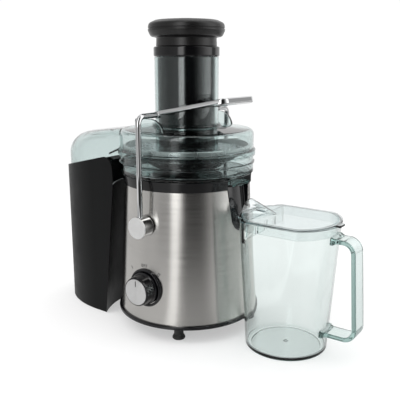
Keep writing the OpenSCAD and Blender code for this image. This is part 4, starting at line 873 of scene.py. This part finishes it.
# ---------------------------------------------------------------- bail
def bail():
    low, bend = BAIL_Z + 6.5, 9.0
    high, end = ROD_Z - bend, BOWL_R - 29
    path = [(0, -ARM_Y, low + (high - low) * k / 12) for k in range(13)]
    path += [(0, -ARM_Y + bend - y, high + z) for y, z in arc(0, 0, bend, range(9, 91, 9))]
    path += [(0, -ARM_Y + bend + (ARM_Y - bend - end) * k / 5, ROD_Z) for k in range(1, 6)]
    rod = tube(path, ROD_R, 40)
    piece("bail_arms", joined(rod, mirrored(rod)), CHROME, "bail", ["bail_rods"], 40)
    tilt, rise = radians(12.5), 1.3
    reach, half, t = 84.0, 34.0, 5.2
    end_y, room = BOWL_R - 24, CHUTE_R + 6

    # half of the plate's outline: from the far edge back to the rod's end, then round the chute and the hole
    round_chute = [p for p in arc(0, 0, room, range(98, 18, -5)) if p[0] > -1.0]
    hole = [p for p in arc(reach - 44, 0, 26, range(62, -1, -6)) if p[0] ** 2 + p[1] ** 2 > room ** 2]
    side = [(reach, half, 11.0), (1.0, end_y, 5.0), (-2, end_y - 6, 4.0), (-2, 47.6, 1.0)]
    flat = rounded(both_sides(side + round_chute + hole), 6)
    edge = box((reach - 9, -60, -20), (reach + 5, 60, 20))
    lip = csg(prism(flat, -t / 2 - 3.6, t / 2, 3.4, 6), ("*", edge))
    v, faces = csg(prism(flat, -t / 2, t / 2, 1.7, 4), ("+", lip))
    x, y, z = np.array(v).T
    v = np.stack([x * cos(tilt) - z * sin(tilt), y, x * sin(tilt) + z * cos(tilt) + ROD_Z + rise], 1)
    ring = ROD_R + 1
    profile = [(0, end - 0.5), (ring, end - 0.5, 0.7), (ring, end_y - 0.5, 1.0), (0, end_y - 0.5)]
    barrel = lathe(rounded(profile, 5), 48, "Y", (0, ROD_Z))
    bore = drum(ROD_R + 0.05, end - 0.05, ARM_Y, 40, "Y", (0, ROD_Z))
    geo = csg((v, faces), ("+", barrel), ("+", mirrored(barrel)), ("-", bore), ("-", mirrored(bore)))
    piece("bail_plate", geo, CHROME, "bail", ["bail_crossbar"], 35)

    def boss(profile):
        return lathe(rounded(profile, 5), 128, "Y", (0, BAIL_Z))

    y0, y1 = HUB_FACE_Y - 17.5, HUB_FACE_Y
    hub = boss([(5, y0, 0.3), (HUB_R, y0, 1.2), (HUB_R, y1 - 1.6, 0.3), (0, y1 - 1.6), (0, y1 - 4),
                (5, y1 - 4)])
    socket = drum(ROD_R + 0.05, BAIL_Z + 6.4, BAIL_Z + 30, 40)
    hub = csg(hub, ("-", moved(socket, (0, -ARM_Y, 0))))
    piece("bail_bosses", joined(hub, mirrored(hub)), CHROME, "bail", ["bail_hubs"], 35)
    cap = boss([(0, y1 - 1.55), (HUB_R, y1 - 1.55, 0.2), (HUB_R, y1, 0.9), (HUB_R - 3, y1), (0, y1)])
    piece("bail_caps", joined(cap, mirrored(cap)), HUB, "bail", ["hub_caps"], 35)


bail()


# ---------------------------------------------------------------- jug
def soft(y, limit):
    """Holds y within the limit either way, with a small round corner."""
    k = 0.9
    return np.sign(y) * (-k * np.logaddexp(-np.abs(y) / k, -limit / k))


def jug_loop(r, flat, z, n=192):
    """A circle with two flat sides."""
    t = np.linspace(0, 2 * pi, n, endpoint=False)
    return np.c_[JUG_X + r * np.cos(t), soft(r * np.sin(t), flat), np.full(n, z)]


def jug_radius(z):
    return JUG_FOOT_R + (JUG_RIM_R - JUG_FOOT_R) * z / JUG_H


def pour_points(inset, top, low):
    """Corner that pours: wide at the rim and drawn to a point below it."""
    x0, y0, wall = JUG_X - sqrt(JUG_RIM_R ** 2 - JUG_FLAT ** 2), -JUG_FLAT, 2 * inset
    return [(x0 + x, y0 + y, z) for x, y, z in (
        (wall - 3.6, 0.6 + inset, top), (14, inset, top), (14, 8, top), (-8, 14, top), (wall - 9.5, 8.4, top),
        (wall - 3.0, 1.2 + inset, low), (wall - 5.5, 6 + inset, low), (4, 3 + inset, low),
        (13, 0.5 + inset, low + 13))]


def jug():
    h, w, fz = JUG_H, JUG_WALL, 3.6
    foot, rim = JUG_FOOT_R, jug_radius(h)
    outside = [(foot - 12, 0.9), (foot - 8.5, 0.8), (foot - 7.4, 0.1), (foot - 6.8, 0.0)]
    for a in range(0, 91, 15):
        outside.append((foot - 3 + 3 * sin(radians(a)) + 0.2 * a / 90, 3 - 3 * cos(radians(a))))
    outside += [(jug_radius(z), z) for z in np.linspace(8, h - 1.0, 22)]
    outside += [(rim - 0.2, h - 0.4), (rim - 0.8, h), (rim - w + 0.8, h), (rim - w + 0.2, h - 0.4)]
    ir = jug_radius(fz + 4) - w
    inside = [(jug_radius(z) - w, z) for z in np.linspace(h - 1.2, fz + 4, 20)]
    inside += arc(ir - 4, fz + 4, 4, range(-15, -91, -15))
    inside += [(ir * f, fz) for f in (0.6, 0.3, 0.06)]
    loops = [jug_loop(r, JUG_FLAT - (0 if z < h - 0.7 else rim - r), z) for r, z in outside]
    body = loft(loops + [jug_loop(r, JUG_FLAT - w, z) for r, z in inside])
    room = loft([jug_loop(jug_radius(z) - w, JUG_FLAT - w, z, 160) for z in np.linspace(100, h + 8, 6)])
    lip = csg(hull(pour_points(0, h, 138)), ("-", room))
    way = hull(pour_points(1.4, h + 6, 142.5))
    gate = lathe(rounded([(0, fz - 0.5), (3.4, fz - 0.5), (3.4, fz + 0.35, 0.3), (1.8, fz + 0.7, 0.3),
                          (1.2, fz + 0.2, 0.2), (0, fz + 0.1)], 5), 48, centre=(JUG_X, 0))
    geo = csg(body, ("+", lip), ("+", mirrored(lip)), ("-", way), ("-", mirrored(way)), ("+", gate))
    piece("jug_shell", geo, JUGC, "jug", ["jug_body"], 32, 1e-3)


jug()


def jug_handle():
    """Flat bar bent at both ends, which leans in towards the rim and spreads where it meets the jug."""
    lo, hi = mm("jug_handle")
    t, bend, lean, wide = 5.6, 16.0, 6.0, hi[1] - lo[1]
    reach, top_z, low_z = hi[0] - JUG_X, hi[2], lo[2] + t
    low_in, top_in = jug_radius(low_z) - 0.3, jug_radius(top_z) - 0.3
    upper, lower = (reach - lean - bend, top_z - bend), (reach - bend, low_z - t + bend)
    out, back = np.linspace(90, 3, 14), np.linspace(3, -90, 14)
    outline = [(top_in, top_z)] + arc(*upper, bend, out) + arc(*lower, bend, back)
    outline += [(low_in, low_z - t), (low_in, low_z)]
    outline += arc(*lower, bend - t, back[::-1]) + arc(*upper, bend - t, out[::-1]) + [(top_in, top_z - t)]
    grip = facing(prism(outline, -wide / 2, wide / 2, 1.6, 4), JUG_X)
    feet = []
    for z, x in ((top_z - t / 2, top_in), (low_z - t / 2, low_in)):
        loops = []
        for away, grow in ((-6, 2.0), (0.8, 2.0), (1.6, 1.7), (3.0, 0.8), (5.2, 0.15), (7.0, -0.3)):
            h, w = t / 2 + grow, wide / 2 + grow
            loops.append([(JUG_X + x + away, q[0], z + q[1]) for q in rect(-w, -h, w, h, 1.6)])
        feet.append(("+", loft(loops)))
    inside = loft([jug_loop(jug_radius(z) + 0.05, 200, z) for z in (0, JUG_H)])
    piece("jug_grip", csg(grip, *feet, ("-", inside)), GRIP, "jug", ["jug_handle"], 35)


jug_handle()


def jug_lid():
    z0, t = JUG_H + 0.05, 2.6
    top = z0 + t
    lr, lf = JUG_RIM_R + 1, JUG_FLAT + 1
    x = sqrt(lr * lr - lf * lf)
    tab_x = mm("jug_lid")[1][0] - JUG_X
    # half of the plate's outline, from the tab round to the pouring corner
    a0 = math.asin(7 / (lr - 0.3))
    half = [(tab_x, 7, 2.0), (lr * cos(a0), 7, 1.2)]
    half += [(lr * cos(a), lr * sin(a)) for a in np.linspace(a0 + 0.03, math.asin(lf / lr) - 0.05, 18)]
    half += [(x - 2, lf, 4), (-x - 3.6, lf - 0.4, 2.2), (-x - 9.5, lf - 8.4, 2.2), (-x - 8.6, lf - 13.5, 3)]
    half += [(lr * cos(a), lr * sin(a)) for a in np.linspace(pi - 0.60, pi - 0.02, 12)]
    plate = prism([(JUG_X + px, py) for px, py in rounded(both_sides(half), 5)], z0, top, 0.8)
    gap, wall = JUG_WALL + 0.9, 1.8

    def plug(inset, low, high):
        return loft([jug_loop(JUG_RIM_R - gap - inset, JUG_FLAT - gap - inset, z) for z in (low, high)])

    skirt = csg(plug(0, z0 - 11, z0 + 1), ("-", plug(wall, z0 - 12, z0 + 0.4)))
    # the dome over the spout is a length of cone that lies in the plate
    reach, half_w, height, length = 56.5, 20.5, 14.5, 42.0
    r1 = (half_w * half_w + height * height) / (2 * height)
    drop = r1 - height
    r2 = drop - 1

    def dome(inset, x0, low):
        v, f = lathe([(0, 0), (r1 - inset, 0), (r2 - inset, length), (0, length)], 128)
        cone = np.stack([v[:, 2] + JUG_X + x0, v[:, 1], v[:, 0] + top - drop], 1), f
        return csg(cone, ("*", box((JUG_X - 2 * reach, -r1, low), (JUG_X + 60, r1, z0 + 60))))

    outer, inner = dome(0, -reach, z0 + 0.5), dome(wall, -reach - 0.5, top - 0.8)
    slot = prism(rect(JUG_X - reach + 3, -10, JUG_X - reach + 19, 10, 3), z0 - 1, top + 2)
    geo = csg(plate, ("+", skirt), ("+", outer), ("-", inner), ("-", slot))
    piece("jug_cover_plate", geo, COVER, "jug_cover", ["jug_lid"], 32, 1e-3)


jug_lid()


def froth_comb():
    (x, _, z0), (_, _, z1) = mm("froth_separator")
    gap = JUG_WALL + 3.4
    room = loft([jug_loop(JUG_RIM_R - gap, JUG_FLAT - gap, z) for z in (z0 - 5, z1 + 1)])
    cuts = [("-", box((x - 1, 21 * k - 3, z0 - 1), (x + 3, 21 * k + 3, z0 + 11))) for k in (-1, 0, 1)]
    comb = csg(box((x, -60, z0), (x + 2, 60, z1)), ("*", room), *cuts)
    piece("jug_froth_comb", comb, JUGC, "jug_cover", ["froth_separator"], 32)


froth_comb()

# ---------------------------------------------------------------- studio
# Brightness by compass direction in degrees: what mirrors see of the room, and the painted reflection on the
# floor and on the floor's band from 0.8 to 1.2 metres away, which the bail's rods show.
ROOM = [(-180, 0.55), (-140, 0.50), (-122, 0.40), (-100, 0.48), (-85, 0.55), (-79, 3.0), (-66, 3.0),
        (-61, 0.6), (-57, 0.06), (-53, 0.02), (-43, 0.012), (-33, 0.015), (-26, 0.035), (-17, 0.13),
        (-7, 0.42), (4, 0.78), (16, 1.45), (30, 2.0), (42, 1.9), (47, 0.42), (62, 0.40), (70, 1.2),
        (98, 0.95), (160, 0.90), (180, 0.55)]
GROUND = [(-180, 0.55), (-140, 0.52), (-122, 0.42), (-96, 0.46), (-83, 0.46), (-77, 1.15), (-70, 1.15),
          (-66, 0.32), (-62, 0.08), (-55, 0.035), (-43, 0.02), (-33, 0.03), (-25, 0.13), (-19, 0.28),
          (-14, 0.42), (-8, 0.26), (0, 0.32), (10, 0.36), (20, 0.5), (35, 0.7), (60, 0.9), (150, 0.95),
          (180, 0.55)]
ROD_GROUND = [(-180, 0.9), (-112, 0.85), (-97, 0.12), (-88, 0.03), (-22, 0.03), (-6, 0.2), (16, 0.34),
              (40, 0.2), (60, 0.06), (92, 0.06), (125, 0.5), (180, 0.9)]
TOP_LIGHT = 3.4
PLAIN_WHITE = 1.02


def azimuth_ramp(nt, vector, pattern):
    """Brightness by compass direction about the upright axis, as a share of TOP_LIGHT."""
    sep = node(nt, "ShaderNodeSeparateXYZ")
    nt.links.new(vector, sep.inputs[0])
    ramp = node(nt, "ShaderNodeValToRGB")
    els = ramp.color_ramp.elements
    els[0].position, els[1].position = 0, 1
    for i, (deg, v) in enumerate(pattern):
        e = els[0] if i == 0 else els[-1] if i == len(pattern) - 1 else els.new((deg + 180) / 360)
        e.color = (v / TOP_LIGHT, v / TOP_LIGHT, v / TOP_LIGHT, 1)
    direction = maths(nt, "ARCTAN2", sep.outputs[1], sep.outputs[0])
    nt.links.new(ranged(nt, direction, -pi, pi), ramp.inputs[0])
    return ramp.outputs[0]


def world():
    """Plain white for the picture; mirrors and clear plastic see the room's lights and darks instead."""
    w = bpy.data.worlds.new("studio")
    bpy.context.scene.world = w
    w.use_nodes = True
    nt = w.node_tree
    nt.nodes.clear()
    out = node(nt, "ShaderNodeOutputWorld")
    plain = node(nt, "ShaderNodeBackground", Color=(1, 1, 1, 1), Strength=PLAIN_WHITE)
    seen = node(nt, "ShaderNodeBackground", Strength=TOP_LIGHT)
    co = node(nt, "ShaderNodeTexCoord")
    nt.links.new(azimuth_ramp(nt, co.outputs["Generated"], ROOM), seen.inputs["Color"])
    lp = node(nt, "ShaderNodeLightPath")
    depth = maths(nt, "MAXIMUM", lp.outputs["Glossy Depth"], lp.outputs["Is Transmission Ray"])
    nt.links.new(mixed(nt, maths(nt, "MINIMUM", depth, 1), plain.outputs[0], seen.outputs[0]), out.inputs[0])


world()


def floor():
    """White paper that glows in part even beside the juicer, a painted light that lightens the shadows on it,
    and turns plain white with distance; mirrors see a painted pattern of lights and darks on it instead.
    """
    s = 3.0
    me = bpy.data.meshes.new("floor")
    me.from_pydata([(-s, -s, 0), (s, -s, 0), (s, s, 0), (-s, s, 0)], [], [[0, 1, 2, 3]])
    o = bpy.data.objects.new("floor", me)
    bpy.context.scene.collection.objects.link(o)
    m = bpy.data.materials.new("floor_white")
    m.use_nodes = True
    nt = m.node_tree
    nt.nodes.clear()
    link = nt.links.new
    out = node(nt, "ShaderNodeOutputMaterial")
    geo = node(nt, "ShaderNodeNewGeometry")
    spot = node(nt, "ShaderNodeVectorMath", operation="SUBTRACT")
    spot.inputs[1].default_value = (AX, 0, 0)
    link(geo.outputs["Position"], spot.inputs[0])
    length = node(nt, "ShaderNodeVectorMath", operation="LENGTH")
    link(spot.outputs[0], length.inputs[0])
    far = length.outputs["Value"]
    diffuse = node(nt, "ShaderNodeBsdfDiffuse", Color=(0.93, 0.93, 0.93, 1))
    white = node(nt, "ShaderNodeEmission", Strength=PLAIN_WHITE)
    # Painted light: the floor glows at a share of at least 0.42 even next to the juicer, which lightens its
    # contact shadows, and glows fully white far away.
    fade = ranged(nt, far, 0.42, 1.1, 0.42, 1.0, "SMOOTHSTEP")
    paper_and_glow = mixed(nt, fade, diffuse.outputs[0], white.outputs[0])
    # Painted reflection: to glossy rays the floor glows with bright and dark bands by compass direction,
    # which the steel and chrome mirror.
    band = maths(nt, "MULTIPLY", ranged(nt, far, 0.74, 0.84), ranged(nt, far, 1.24, 1.12))
    tone = node(nt, "ShaderNodeMix", data_type="RGBA")
    link(band, tone.inputs[0])
    link(azimuth_ramp(nt, spot.outputs[0], GROUND), tone.inputs[6])
    link(azimuth_ramp(nt, spot.outputs[0], ROD_GROUND), tone.inputs[7])
    seen = node(nt, "ShaderNodeEmission", Strength=TOP_LIGHT)
    link(tone.outputs[2], seen.inputs["Color"])
    lp = node(nt, "ShaderNodeLightPath")
    share = maths(nt, "MULTIPLY", maths(nt, "MINIMUM", lp.outputs["Glossy Depth"], 1),
                  ranged(nt, far, 0.16, 0.75, 0.62, 1.0, "SMOOTHSTEP"))
    link(mixed(nt, share, paper_and_glow, seen.outputs[0]), out.inputs[0])
    me.materials.append(m)


floor()


def area(name, at, to, size, power):
    """Soft lamp that lights surfaces but isn't seen, in mirrors either."""
    l = bpy.data.lights.new(name, "AREA")
    l.energy, l.size = power, size
    o = bpy.data.objects.new(name, l)
    bpy.context.scene.collection.objects.link(o)
    o.location = at
    o.rotation_euler = (Vector(to) - Vector(at)).to_track_quat("-Z", "Y").to_euler()
    o.visible_camera = False
    o.visible_glossy = False
    o.visible_transmission = False


area("key", (-0.9, -1.1, 1.7), (0, 0, 0.1), 1.0, 9)
area("top", (0.2, 0.3, 2.0), (0, 0, 0), 1.6, 10)


def camera():
    """Looks along a heading, turned a little off it and down; its place is taken from the juicer's axis."""
    heading, turn, pitch = radians(36.6), radians(1.258), radians(13.07)
    x, y, z = AX + 0.4682, -0.6305, 0.3478
    h = np.array([-sin(heading), cos(heading), 0])
    r = np.array([cos(heading), sin(heading), 0])
    up = np.array([0, 0, 1])
    level = h * cos(turn) + r * sin(turn)
    right = r * cos(turn) - h * sin(turn)
    fwd = level * cos(pitch) - up * sin(pitch)
    top = level * sin(pitch) + up * cos(pitch)
    cam = bpy.data.cameras.new("camera")
    cam.lens, cam.sensor_width = 53.487, 36
    o = bpy.data.objects.new("camera", cam)
    bpy.context.scene.collection.objects.link(o)
    o.matrix_world = Matrix([(*axes, at) for *axes, at in zip(right, top, -fwd, (x, y, z))] + [(0, 0, 0, 1)])
    bpy.context.scene.camera = o


camera()
bpy.context.scene.view_settings.view_transform = "Standard"

bpy.context.view_layer.update()
